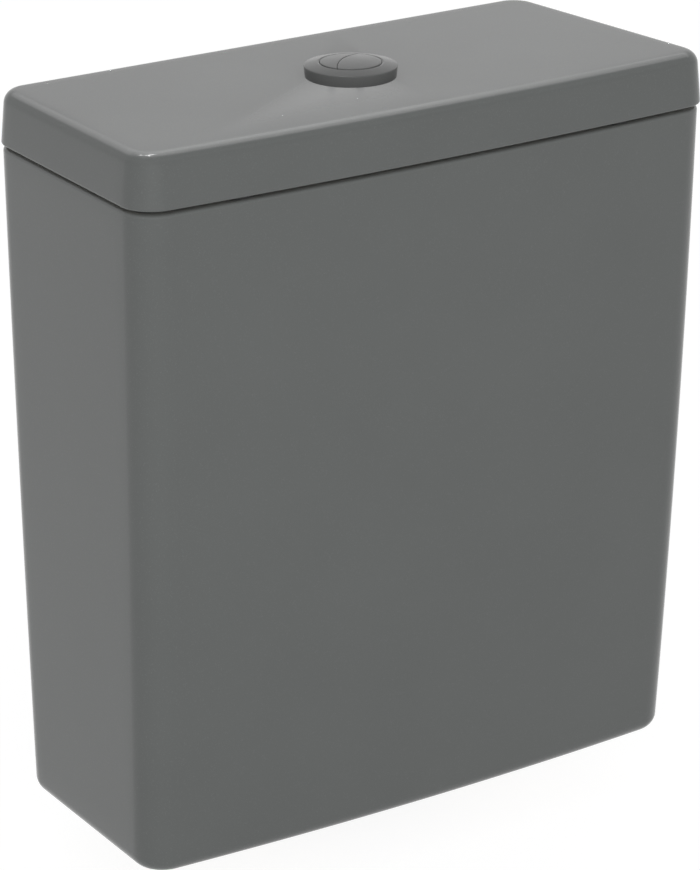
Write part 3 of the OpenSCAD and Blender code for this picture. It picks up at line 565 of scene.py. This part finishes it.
def lofted(bm, line, place, thin_glaze_and_seam_light=lambda inset, z: 0.0, raw=lambda inset, z: 0.0):
    """A shell from the loop in a bmesh and a line of (inset, height) points, marked where glaze is thin or bare and
    where a paler colour is painted to lighten the shaded seam.
    """
    core = bm.verts.layers.float_vector["core"]
    out = bm.verts.layers.float_vector["out"]
    glaze_and_seam_light_mark = bm.verts.layers.float.new("thin_glaze_and_seam_light")
    raw_mark = bm.verts.layers.float.new("raw")

    def put(v, inset, z):
        v.co = place(v[core], v[out], inset, z)
        v[glaze_and_seam_light_mark] = thin_glaze_and_seam_light(inset, z)
        v[raw_mark] = raw(inset, z)

    return ringed(bm, line, put)


def shell_point(core, out, inset, plan, corner_r):
    """A point of the tank's or lid's outline: width, depth, bow, narrowing and back of the plan are given."""
    w, d, bow, narrow, back = plan
    r = max(corner_r - inset, 0.0015)
    x = core.x * (w / 2 - inset - r) + out.x * r
    y = core.y * (d / 2 - inset - r) + out.y * r - d / 2
    front = max(0.0, min(1.0, -y / d))
    bowed = y - bow * (1 - (2 * x / w) ** 2) * front
    return x * (1 + narrow * (1 - front)), bowed + back


class CISTERN_OT_tank(bpy.types.Operator):
    """Glazed tank: tapered walls, rolled rim, floor and holes"""

    bl_idname = "cistern.tank"
    bl_label = "Tank"

    def execute(self, context):
        s = context.scene.cistern_shell
        rim_w = s.lid_front_w - 2 * s.rim_inset
        rim_d = s.lid_depth - s.rim_inset
        rim_narrow = s.lid_back_w / s.lid_front_w - 1
        base_narrow = s.base_back_w / s.base_front_w - 1

        def place(core, out, inset, z):
            down = 1 - z / s.tank_h
            taper = down + s.taper_gather * down * (down - 1)
            plan = (mix(rim_w, s.base_front_w, taper), mix(rim_d, s.base_depth, taper),
                    mix(s.lid_bow, s.base_bow, down), mix(rim_narrow, base_narrow, down),
                    s.back_y - s.base_setback * down)
            return *shell_point(core, out, inset, plan, s.corner_r), z

        flat, touch = 0.003, 1e-6
        line = rounded([(s.base_edge_r + flat, 0.0), (0.0, 0.0, s.base_edge_r), (0.0, s.tank_h, s.rim_r),
                        (s.wall_t, s.tank_h, s.rim_r), (s.wall_t, s.floor_t, s.floor_r),
                        (s.wall_t + s.floor_r + flat, s.floor_t)], closed=False, steps=EDGE_STEPS)
        # The rim's top gets the full mark: partly thin glaze, partly a paler colour painted to lighten the shaded
        # seam under the lid; the rim rounding gets a little thin glaze.
        bm = lofted(plan_loop(rim_w, rim_d, s.corner_r), stepped(line, 0.012), place,
                    thin_glaze_and_seam_light=lambda inset, z: 1.0 if z > s.tank_h - touch else 0.1 if z > s.tank_h - s.rim_r else 0.0)
        outlet_r, inlet_r, bolt_r, screw_r = 32.3, 12.48, 5.5, 4.5
        screw_x, screw_drop, lean_there = 0.070, 0.045, 0.12
        edge, floor = s.hole_round / MM, s.floor_t / MM
        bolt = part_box("bolt_nuts")
        bolt_x = bolt[1].x - (bolt[1].y - bolt[0].y) / math.sqrt(3)
        holes = ((outlet_r, 0.0), (inlet_r, plan_middle("inlet_shank")[0]), (bolt_r, -bolt_x), (bolt_r, bolt_x))
        tools = [bore_tool(r, 0, floor, edge, (x, 0.0)) for r, x in holes]
        lean = s.base_setback / MM * lean_there
        for side in (-1, 1):
            tool = bore_tool(screw_r, s.wall_t / -MM - lean, -lean, edge)
            bmesh.ops.rotate(tool, cent=(0, 0, 0), matrix=Matrix.Rotation(-math.pi / 2, 3, "X"),
                             verts=tool.verts[:])
            moved(tool, (side * screw_x, s.back_y, s.tank_h - screw_drop))
            tools.append(tool)
        stand_in(carved(bm, tools), "tank")
        return {"FINISHED"}


class CISTERN_OT_lid(bpy.types.Operator):
    """Glazed lid with its rib, drafted sides and soft top edge"""

    bl_idname = "cistern.lid"
    bl_label = "Lid"

    def execute(self, context):
        s = context.scene.cistern_shell
        narrow = s.lid_back_w / s.lid_front_w - 1
        plan = (s.lid_front_w, s.lid_depth, s.lid_bow, narrow, s.back_y)

        def place(core, out, inset, z):
            return *shell_point(core, out, inset, plan, s.corner_r), z

        rib = s.rim_inset + s.wall_t + s.rib_clear
        inner = rib + s.rib_t
        under = s.lid_top - s.lid_t
        low = s.lid_low - s.rib_drop
        lip, crown_r, foot_r, seat_r, touch = 0.0012, 0.004, 0.0015, 0.001, 1e-6
        flat_under, flat_top, thin_low, thin_top, sleeve_hole_r = 0.008, 0.004, 0.004, 0.001, 20.0
        side_h = s.lid_top - s.lid_low
        lean = s.lid_draft * side_h / (side_h - s.lid_edge_r - lip)
        line = rounded([(inner + flat_under, under), (inner, under, crown_r), (inner, low, foot_r),
                        (rib, low, foot_r), (rib, s.lid_low, seat_r), (0.0, s.lid_low, lip),
                        (lean, s.lid_top, s.lid_edge_r), (lean + s.lid_edge_r + flat_top, s.lid_top)],
                       closed=False, steps=EDGE_STEPS)
        bm = lofted(plan_loop(s.lid_front_w, s.lid_depth, s.corner_r), stepped(line, 0.010), place,
                    thin_glaze_and_seam_light=lambda inset, z: 0.1 if thin_top < s.lid_top - z < thin_low and inset < rib else 0.0,
                    raw=lambda inset, z: 1.0 if abs(z - s.lid_low) < touch and lip < inset < rib else 0.0)
        tool = bore_tool(sleeve_hole_r, under / MM, s.lid_top / MM, s.hole_round / MM, plan_middle("button_bezel"))
        stand_in(carved(bm, [tool]), "lid")
        return {"FINISHED"}


class CISTERN_OT_bezel(bpy.types.Operator):
    """Bezel with its threaded sleeve"""

    bl_idname = "cistern.bezel"
    bl_label = "Button bezel"

    def execute(self, context):
        b = context.scene.cistern_buttons
        lo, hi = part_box("button_bezel")
        low, top = heights("button_bezel")
        lid_top = context.scene.cistern_shell.lid_top / MM
        outer = (hi.x - lo.x) / 2 / MM
        inner = b.sleeve_in_r / MM
        sleeve = inner + b.sleeve_wall / MM
        edge = lid_top + b.bezel_edge_h / MM
        corners = [(inner, low, 0.3), (sleeve, low, 0.5), *thread(sleeve, low + 1, lid_top - 11, 2.0, 0.6),
                   (sleeve, lid_top), (outer - b.bezel_lean / MM, lid_top, 0.25), (outer, edge, 0.6),
                   (inner + 0.8, top, 0.6), (inner, top - 0.4, 0.15)]
        stand_in(turned(corners, plan_middle("button_bezel")), "button_bezel").visible_glossy = False
        return {"FINISHED"}


class CISTERN_OT_buttons(bpy.types.Operator):
    """Larger and smaller flush button: domed tops, rounded edges, hollow skirts and rod bosses"""

    bl_idname = "cistern.buttons"
    bl_label = "Flush buttons"

    def execute(self, context):
        b = context.scene.cistern_buttons
        self.centre = Vector(plan_middle("button_bezel"))
        self.outer = b.sleeve_in_r - b.slit
        self.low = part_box("half_flush_button")[0].z
        self.top = self.low + b.skirt
        self.button(b, "full_flush_button", "full_flush_rod", 1)
        self.button(b, "half_flush_button", "half_flush_rod", -1)
        return {"FINISHED"}

    def outline(self, b, side, margin, arc, share):
        """A point on the outline of a button drawn in by a margin: on the round edge or on the curved slit."""
        away = b.split_angle + math.pi
        offset = b.split_r - b.split_reach
        round_r = self.outer - margin
        slit_r = b.split_r - side * (b.slit / 2 + margin)
        along = (round_r ** 2 - slit_r ** 2 + offset ** 2) / (2 * offset)
        across = math.sqrt(max(0.0, round_r ** 2 - along ** 2))
        if arc == 0:
            reach = math.atan2(across, along)
            angle = away + share * reach if side > 0 else away + math.pi + share * (math.pi - reach)
            return Vector((math.cos(angle), math.sin(angle))) * round_r
        reach = math.atan2(across, offset - along)
        angle = b.split_angle + share * side * reach
        middle = Vector((math.cos(away), math.sin(away))) * offset
        return middle + Vector((math.cos(angle), math.sin(angle))) * slit_r

    def button(self, b, node, rod, side):
        """One button, by extruding its outline ring by ring."""
        half, steps, spread = 48, 5, 8
        top_t, fillet, bore, short = 0.0045, 0.001, 2.1, 0.0008
        bm = bmesh.new()
        bmesh.ops.create_circle(bm, cap_ends=False, segments=2 * half, radius=1.0)
        arc = bm.verts.layers.int.new("arc")
        share = bm.verts.layers.float.new("share")
        bm.verts.ensure_lookup_table()
        for k in range(2 * half):
            bm.verts[k][arc] = k // half
            bm.verts[k][share] = 2 * (k % half) / half - 1
        deepest = (self.outer + side * b.split_reach) / 2 - short
        ceiling = self.top - top_t
        rings = [(b.wall + fillet, ceiling, 0), (b.wall, ceiling - fillet, 0), (b.wall, self.low, 0),
                 (0.0, self.low, 0)]
        rings += [(b.edge_r * (1 - math.cos(math.pi / 2 * k / steps)),
                   b.edge_r * (math.sin(math.pi / 2 * k / steps) - 1), 1) for k in range(steps + 1)]
        rings += [(mix(b.edge_r, deepest, k / spread), 0.0, 1) for k in range(1, spread + 1)]

        def put(v, margin, z, domed):
            p = self.outline(b, side, margin, v[arc], v[share])
            rise = b.dome * (1 - (p.length / self.outer) ** 2)
            v.co = (self.centre.x + p.x, self.centre.y + p.y, self.top + rise + z if domed else z)

        ringed(bm, rings, put)
        boss = 4.5 if side > 0 else 3.5
        foot, root = self.low / MM, ceiling / MM + 0.3
        turned([(bore, foot, 0.3), (boss, foot, 0.4), (boss, root), (bore, root)], plan_middle(rod), bm=bm)
        stand_in(bm, node).visible_glossy = False


class CISTERN_OT_springs(bpy.types.Operator):
    """Return springs of both buttons: wound wire with closed end coils"""

    bl_idname = "cistern.springs"
    bl_label = "Button springs"

    def execute(self, context):
        b = context.scene.cistern_buttons
        for node, joint in (("full_flush_spring", "full_flush_press"), ("half_flush_spring", "half_flush_press")):
            lo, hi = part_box(node)
            place = Vector((*plan_middle(node), lo.z))
            tall = hi.z - lo.z
            coil_r = (hi.y - lo.y) / 2 - b.spring_wire_r
            bm = self.wound(b, coil_r, tall)
            moved(bm, place)
            piece = stand_in(bm, node, sharp=60.0)
            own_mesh(piece)
        return {"FINISHED"}

    def wound(self, b, coil_r, tall):
        """A spring standing on the origin."""
        wire_sides, steps = 10, 28
        wire = b.spring_wire_r
        close_pitch = 2.15 * wire
        open_pitch = (tall - 2 * wire - 2 * close_pitch) / b.spring_curls
        bm = bmesh.new()
        upright = Matrix.Translation((coil_r, 0.0, wire)) @ Matrix.Rotation(math.pi / 2, 4, "X")
        bmesh.ops.create_circle(bm, cap_ends=False, segments=wire_sides, radius=wire, matrix=upright)
        start = bm.edges[:]
        end = bm.verts[:] + bm.edges[:]
        rise = 0.0
        for turns, pitch in ((1, close_pitch), (b.spring_curls, open_pitch), (1, close_pitch)):
            made = bmesh.ops.spin(bm, geom=end, cent=(0, 0, rise), axis=(0, 0, 1),
                                  dvec=(0, 0, pitch / steps), angle=math.tau * turns, steps=steps * turns,
                                  use_merge=False, use_normal_flip=False, use_duplicate=False)
            end = [g for g in made["geom_last"] if not isinstance(g, bmesh.types.BMFace)]
            rise += pitch * turns
        bmesh.ops.edgeloop_fill(bm, edges=start)
        bmesh.ops.edgeloop_fill(bm, edges=[g for g in end if isinstance(g, bmesh.types.BMEdge)])
        bmesh.ops.recalc_face_normals(bm, faces=bm.faces[:])
        return bm


class CISTERN_OT_push_rods(bpy.types.Operator):
    """Push rods of both buttons, ribbed for setting their length"""

    bl_idname = "cistern.push_rods"
    bl_label = "Push rods"

    def execute(self, context):
        for node in ("full_flush_rod", "half_flush_rod"):
            foot, top = heights(node)
            corners = [(0, foot), (4, foot, 0.8), (4, foot + 3, 0.8), (3.2, foot + 3), (3.2, foot + 9, 0.7),
                       (2, foot + 9), *thread(2.0, foot + 12, foot + 52, 2.0, 0.45), (2, top, 0.4), (0, top)]
            stand_in(turned(corners, plan_middle(node), closed=False), node)
        return {"FINISHED"}


class CISTERN_OT_flush_tail(bpy.types.Operator):
    """Flush valve base with its threaded tail, flange and seat"""

    bl_idname = "cistern.flush_tail"
    bl_label = "Flush valve base"

    def execute(self, context):
        bore, tail, flange, seat, seat_in = 25, 29.8, 42, 28, 26
        low = heights("valve_base")[0]
        under, flange_top, seat_top = 13, 18, 22
        corners = [(bore, low, 0.7), (tail, low, 1.0), *thread(tail, low + 1.5, under - 1.5, 3.0, 0.9), (tail, under),
                   (flange, under, 0.8), (flange, flange_top, 1.0), (seat, flange_top, 0.8), (seat, seat_top, 0.9),
                   (seat_in, seat_top, 0.5), (seat_in, under), (bore, under)]
        stand_in(turned(corners), "valve_base")
        return {"FINISHED"}


class CISTERN_OT_overflow_tube(bpy.types.Operator):
    """Overflow tube with level marks and the plate above the main seal"""

    bl_idname = "cistern.overflow_tube"
    bl_label = "Overflow tube"

    def execute(self, context):
        r, bore, plate_r, plate_low, plate_top = 16.0, 13.5, 29, 25, 28
        low, top = heights("overflow_tube")
        marks = [(r - deep, height + up) for height in range(130, 201, 10)
                 for up, deep in ((0.0, 0.0), (0.3, 0.35), (0.9, 0.35), (1.2, 0.0))]
        corners = [(bore, low, 0.4), (r, low, 0.5), (r, plate_low), (plate_r, plate_low, 0.6),
                   (plate_r, plate_top, 1.0), (r, plate_top, 1.2), *marks, (r, top, 0.9), (bore, top, 0.9)]
        stand_in(turned(corners), "overflow_tube")
        return {"FINISHED"}


class CISTERN_OT_pan_seal(bpy.types.Operator):
    """Ribbed ring seal between tank and pan"""

    bl_idname = "cistern.pan_seal"
    bl_label = "Pan seal"

    def execute(self, context):
        inner, outer, neck, lip, hollow, pitch = 36.4, 43.9, 30.2, -9.2, -9.6, 2.6
        low = heights("pan_seal")[0]
        ribs = [(outer - deep, -(up + pitch * k)) for k in range(3)
                for up, deep in ((1.6, 0.0), (2.2, 0.7), (2.8, 0.7), (3.4, 0.0))]
        corners = [(inner, 0, 0.6), (outer, 0, 1.0), *ribs, (outer, lip, 0.4), (outer - 4, low, 0.9),
                   (neck, low, 0.8), (neck, hollow, 0.8), (inner, hollow, 0.8)]
        stand_in(turned(corners), "pan_seal")
        return {"FINISHED"}


class CISTERN_OT_ring_pieces(bpy.types.Operator):
    """Flat washers, seals and the ring float, each turned with soft edges"""

    bl_idname = "cistern.ring_pieces"
    bl_label = "Washers and rings"

    bores = {
        "bezel_washer": (19.1, 0.5),
        "outlet_washer": (29.9, 0.7),
        "inlet_washer": (10.58, 0.7),
        "main_seal": (16.1, 1.0),
        "seal_clamp": (16.1, 0.7),
        "full_flush_float": (16.1, 2.5),
        "bolt_inner_washers": (4.1, 0.35),
        "bolt_rubber_washers": (4.1, 0.9),
        "bolt_plate_washers": (4.1, 0.4),
    }

    def execute(self, context):
        for node, (bore, soft) in self.bores.items():
            bm = bmesh.new()
            for centre, outer, low, high in ring_places(node):
                turned([(bore, low, soft), (outer, low, soft), (outer, high, soft), (bore, high, soft)],
                       centre, bm=bm)
            stand_in(bm, node)
        bm = bmesh.new()
        for centre, outer, low, high in ring_places("bolt_cone_washers"):
            turned([(4.1, low, 0.4), (outer, low, 0.5), (outer, low + 2, 0.8), (outer - 3, high, 0.8),
                    (4.1, high, 0.4)], centre, bm=bm)
        stand_in(bm, "bolt_cone_washers")
        return {"FINISHED"}


def ring_places(node):
    """Centre, outer radius and heights of each ring of a CAD node, radius and heights in millimetres."""
    lo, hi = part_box(node)
    outer = (hi.y - lo.y) / 2
    middle = (lo.y + hi.y) / 2
    pair = hi.x - lo.x > 3 * outer
    ends = (lo.x + outer, hi.x - outer) if pair else ((lo.x + hi.x) / 2,)
    return [((x, middle), outer / MM, lo.z / MM, hi.z / MM) for x in ends]


class CISTERN_OT_ring_nuts(bpy.types.Operator):
    """Ring nuts with lugs, on the button sleeve and on the outlet"""

    bl_idname = "cistern.ring_nuts"
    bl_label = "Ring nuts"

    shapes = {
        "sleeve_nut": (19.1, 24.0, 27.0, 8, 4.0),
        "outlet_nut": (29.9, 34.0, 36.0, 6, 6.0),
    }

    def execute(self, context):
        flange_t, sunk, soft = 3.0, 0.8, 0.6
        for node, (bore, body_r, flange_r, lugs, width) in self.shapes.items():
            centre = plan_middle(node)
            low, top = heights(node)
            bm = turned([(bore, low, 0.4), (body_r, low, 0.6), (body_r, top - flange_t),
                         (flange_r, top - flange_t, 0.5), (flange_r, top, 0.5), (bore, top, 0.4)], centre)
            inner, lug_top = body_r - sunk, top - flange_t + sunk
            for k in range(lugs):
                lug = bmesh.new()
                bmesh.ops.create_cube(lug, size=MM)
                bmesh.ops.scale(lug, vec=(flange_r - inner, width, lug_top - low), verts=lug.verts[:])
                bmesh.ops.bevel(lug, geom=lug.edges[:], offset=soft * MM, offset_type="OFFSET", segments=3,
                                profile=0.5, affect="EDGES", material=-1)
                moved(lug, ((flange_r + inner) / 2 * MM, 0.0, (lug_top + low) / 2 * MM))
                bmesh.ops.rotate(lug, cent=(0, 0, 0), matrix=Matrix.Rotation(math.tau * k / lugs, 3, "Z"),
                                 verts=lug.verts[:])
                moved(lug, (*centre, 0.0))
                joined(bm, lug)
            stand_in(bm, node)
        return {"FINISHED"}


class CISTERN_OT_pan_bolts(bpy.types.Operator):
    """Threaded brass bolts with slotted domed heads"""

    bl_idname = "cistern.pan_bolts"
    bl_label = "Pan bolts"

    def execute(self, context):
        lo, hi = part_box("pan_bolts")
        head_r = (hi.y - lo.y) / 2
        low, top = heights("pan_bolts")
        r, root, run_out, head, head_h = 4.0, 3.4, -11.2, head_r / MM, 4.5
        slot_size = (0.03, 0.0016, 0.004)
        corners = [(0, low), (r, low, 0.8), *thread(r, low + 1.2, -12.0, 1.25, 0.5), (r, run_out), (root, run_out),
                   (root, top - head_h), (head, top - head_h, 0.5), (head, top, 2.4), (0, top)]
        bm = bmesh.new()
        for x in (lo.x + head_r, hi.x - head_r):
            slot = bmesh.new()
            bmesh.ops.create_cube(slot, size=1.0)
            bmesh.ops.scale(slot, vec=slot_size, verts=slot.verts[:])
            moved(slot, (x, 0.0, hi.z))
            joined(bm, carved(turned(corners, (x, 0.0), closed=False), [slot]))
        stand_in(bm, "pan_bolts")
        return {"FINISHED"}


class CISTERN_OT_inlet(bpy.types.Operator):
    """Threaded inlet shank of the fill valve"""

    bl_idname = "cistern.inlet"
    bl_label = "Inlet shank"

    def execute(self, context):
        low, top = heights("inlet_shank")
        bore, r, root, flange, stem = 5.5, 10.48, 9.88, 17.98, 9.48
        run_out, under, over = -9.5, 13, 17
        corners = [(bore, low, 0.6), (r, low, 0.9), *thread(r, low + 1.5, -10.4, 1.8, 0.6), (r, run_out),
                   (root, run_out), (root, under), (flange, under, 0.6), (flange, over, 0.9), (stem, over, 1.2),
                   (stem, top, 0.9), (bore, top, 0.5)]
        stand_in(turned(corners, (plan_middle("inlet_shank")[0], 0.0)), "inlet_shank")
        return {"FINISHED"}


class CISTERN_OT_mouldings(bpy.types.Operator):
    """Moulded and pressed pieces of the valves, with their edges rounded"""

    bl_idname = "cistern.mouldings"
    bl_label = "Mouldings and pins"

    edges = {
        "lid_pads": 0.5, "button_carrier": 0.4, "valve_cage": 0.6, "head_posts": 0.8, "float_guide": 0.4,
        "valve_head": 0.5, "rocker_pins": 0.3, "full_rocker": 0.5, "half_rocker": 0.5, "lift_yoke": 0.8,
        "half_flush_float": 1.2, "half_pull_rod": 0.4, "inlet_nut": 0.6, "inlet_filter": 0.2, "riser_collar": 0.6,
        "fill_riser": 0.4, "diaphragm": 0.5, "fill_valve_cap": 0.6, "float_cup": 1.0, "float_rod": 0.3,
        "float_lever": 0.4, "lever_pin": 0.3, "bolt_nuts": 0.5,
    }

    def execute(self, context):
        for node, edge in self.edges.items():
            stand_in(eased(node, edge * MM), node)
        return {"FINISHED"}


def eased(node, edge):
    """A copy of a CAD node's mesh, merged, with its sharp edges rounded."""
    sharp, flat = math.radians(40), math.radians(0.5)
    bm = bmesh.new()
    bm.from_mesh(frame["nodes"][node].data)
    bmesh.ops.remove_doubles(bm, verts=bm.verts[:], dist=1e-6)
    bmesh.ops.dissolve_limit(bm, angle_limit=flat, use_dissolve_boundaries=False, verts=bm.verts[:],
                             edges=bm.edges[:], delimit=set())
    keen = [e for e in bm.edges if len(e.link_faces) == 2 and e.calc_face_angle() > sharp]
    bmesh.ops.bevel(bm, geom=keen, offset=edge, offset_type="OFFSET", segments=3, profile=0.5,
                    affect="EDGES", material=-1, clamp_overlap=False, loop_slide=True)
    return bm


class CISTERN_OT_stage(bpy.types.Operator):
    """Pale floor, even soft light and the camera"""

    bl_idname = "cistern.stage"
    bl_label = "Stage"

    middle = (0.0, 0.0, 0.3)
    fill_place, fill_size = (-1.5, -2.6, 0.8), 2.4
    panels, panel_level = (((0.9, 1.65, 2.2), 3.6), ((0.7, 0.75, 2.18), 1.9)), 1.4
    ceiling, ceiling_size, ceiling_places = 2.4, 0.09, ((0.05, 0.45), (0.35, 0.75), (-0.3, 0.9))

    def execute(self, context):
        scene, values = context.scene, context.scene.cistern_stage
        self.camera(scene, values)
        self.world(scene, values)
        self.floor(values)
        fill = self.lamp("fill_lamp", values.fill, self.fill_size, self.fill_place, self.middle)
        fill.visible_glossy = False
        ceramic = bpy.data.collections.new("ceramic")
        for node in ("tank", "lid"):
            ceramic.objects.link(bpy.data.objects[node + "_piece"])
        for k, (place, size) in enumerate(self.panels):
            power = values.shine * self.panel_level * math.pi * size ** 2
            panel = self.lamp(f"shine_panel_{k}", power, size, place, (*place[:2], 0.0))
            panel.visible_diffuse = False
            panel.light_linking.receiver_collection = ceramic
        for k, (x, y) in enumerate(self.ceiling_places):
            lamp = self.lamp(f"ceiling_lamp_{k}", values.spark, self.ceiling_size, (x, y, self.ceiling), self.middle)
            lamp.visible_diffuse = False
        scene.view_settings.view_transform = "Standard"
        return {"FINISHED"}

    def camera(self, scene, values):
        """The camera, at the photograph's angle."""
        az, el = values.azimuth, values.elevation
        back = Vector((math.sin(az) * math.cos(el), -math.cos(az) * math.cos(el), math.sin(el)))
        data = bpy.data.cameras.new("camera")
        data.sensor_width = SENSOR
        data.lens = SENSOR * values.focal_px / FRAME_LONG_SIDE_PX
        camera = in_scene("camera", data)
        camera.location = Vector(values.target) + back * values.distance
        camera.rotation_euler = (-back).to_track_quat("-Z", "Y").to_euler()
        scene.camera = camera

    def seen(self, nodes):
        """1 for rays that show the surroundings: from the camera, in a reflection or through glass."""
        path = nodes.add("ShaderNodeLightPath").outputs
        shown = nodes.largest(path["Is Camera Ray"], path["Is Glossy Ray"])
        return nodes.largest(shown, path["Is Transmission Ray"])

    def world(self, scene, values):
        """White surroundings and the even light from them."""
        scene.world = bpy.data.worlds.new("studio")
        nodes = Nodes(scene.world)
        light, shown = (nodes.add("ShaderNodeBackground", {"Color": (1.0, 1.0, 1.0, 1.0), "Strength": level})
                        for level in (values.sky, 1.0))
        both = nodes.blend(self.seen(nodes), light, shown)
        nodes.add("ShaderNodeOutputWorld", {"Surface": both.outputs[0]})

    def floor(self, values):
        """A wide floor under the bolts, white to the camera with a soft shadow, and clear from below."""
        half, below, grey, white = 9.0, 0.0002, (0.9, 0.9, 0.9, 1.0), 1.13
        bm = bmesh.new()
        bmesh.ops.create_grid(bm, x_segments=1, y_segments=1, size=half)
        moved(bm, (0.0, 0.0, CAD_BOX[0][2] - below))
        mesh = as_mesh(bm, "floor")
        material = bpy.data.materials.new("pale_floor")
        nodes = Nodes(material)
        matt = nodes.add("ShaderNodeBsdfDiffuse", {"Color": grey})
        glow = nodes.add("ShaderNodeEmission", {"Strength": white})
        share = nodes.add("ShaderNodeMath", {0: self.seen(nodes), 1: values.floor_glow}, operation="MULTIPLY")
        pale = nodes.blend(share.outputs["Value"], matt, glow)
        side = nodes.add("ShaderNodeNewGeometry")
        one_sided = nodes.blend(side.outputs["Backfacing"], pale, nodes.add("ShaderNodeBsdfTransparent"))
        nodes.add("ShaderNodeOutputMaterial", {"Surface": one_sided.outputs[0]})
        mesh.materials.append(material)
        floor = in_scene("floor", mesh)

    def lamp(self, name, power, size, place, aim):
        """A square lamp aimed at a point."""
        data = bpy.data.lights.new(name, "AREA")
        data.energy = power
        data.size = size
        lamp = in_scene(name, data)
        lamp.location = place
        lamp.rotation_euler = (Vector(aim) - Vector(place)).to_track_quat("-Z", "Y").to_euler()
        return lamp


OPERATORS = (
    CISTERN_OT_tank, CISTERN_OT_lid, CISTERN_OT_bezel, CISTERN_OT_buttons, CISTERN_OT_springs,
    CISTERN_OT_push_rods, CISTERN_OT_flush_tail, CISTERN_OT_overflow_tube, CISTERN_OT_pan_seal,
    CISTERN_OT_ring_pieces, CISTERN_OT_ring_nuts, CISTERN_OT_pan_bolts, CISTERN_OT_inlet, CISTERN_OT_mouldings,
    CISTERN_OT_stage,
)
GROUPS = {
    "cistern_shell": ShellSizes,
    "cistern_buttons": ButtonSizes,
    "cistern_colours": FinishColours,
    "cistern_stage": StageValues,
}


class CISTERN_PT_panel(bpy.types.Panel):
    """Sizes, colours and pieces of the cistern"""

    bl_idname = "CISTERN_PT_panel"
    bl_label = "Cistern"
    bl_space_type = "VIEW_3D"
    bl_region_type = "UI"
    bl_category = "Cistern"

    def draw(self, context):
        for operator in OPERATORS:
            self.layout.operator(operator.bl_idname)
        for name, group in GROUPS.items():
            box = self.layout.box()
            for prop in group.__annotations__:
                box.prop(getattr(context.scene, name), prop)


def register():
    """Registers the classes and their values."""
    for group in (*GROUPS.values(), *OPERATORS, CISTERN_PT_panel):
        bpy.utils.register_class(group)
    for name, group in GROUPS.items():
        setattr(bpy.types.Scene, name, PointerProperty(type=group))


def unregister():
    """Takes the classes and their values out again."""
    for name in GROUPS:
        delattr(bpy.types.Scene, name)
    for group in (CISTERN_PT_panel, *reversed(OPERATORS), *reversed(GROUPS.values())):
        bpy.utils.unregister_class(group)


def main():
    """Builds every piece and the stage."""
    register()
    for operator in OPERATORS:
        getattr(bpy.ops.cistern, operator.bl_idname.split(".")[1])()
    bpy.context.view_layer.update()


if __name__ == "__main__":
    main()
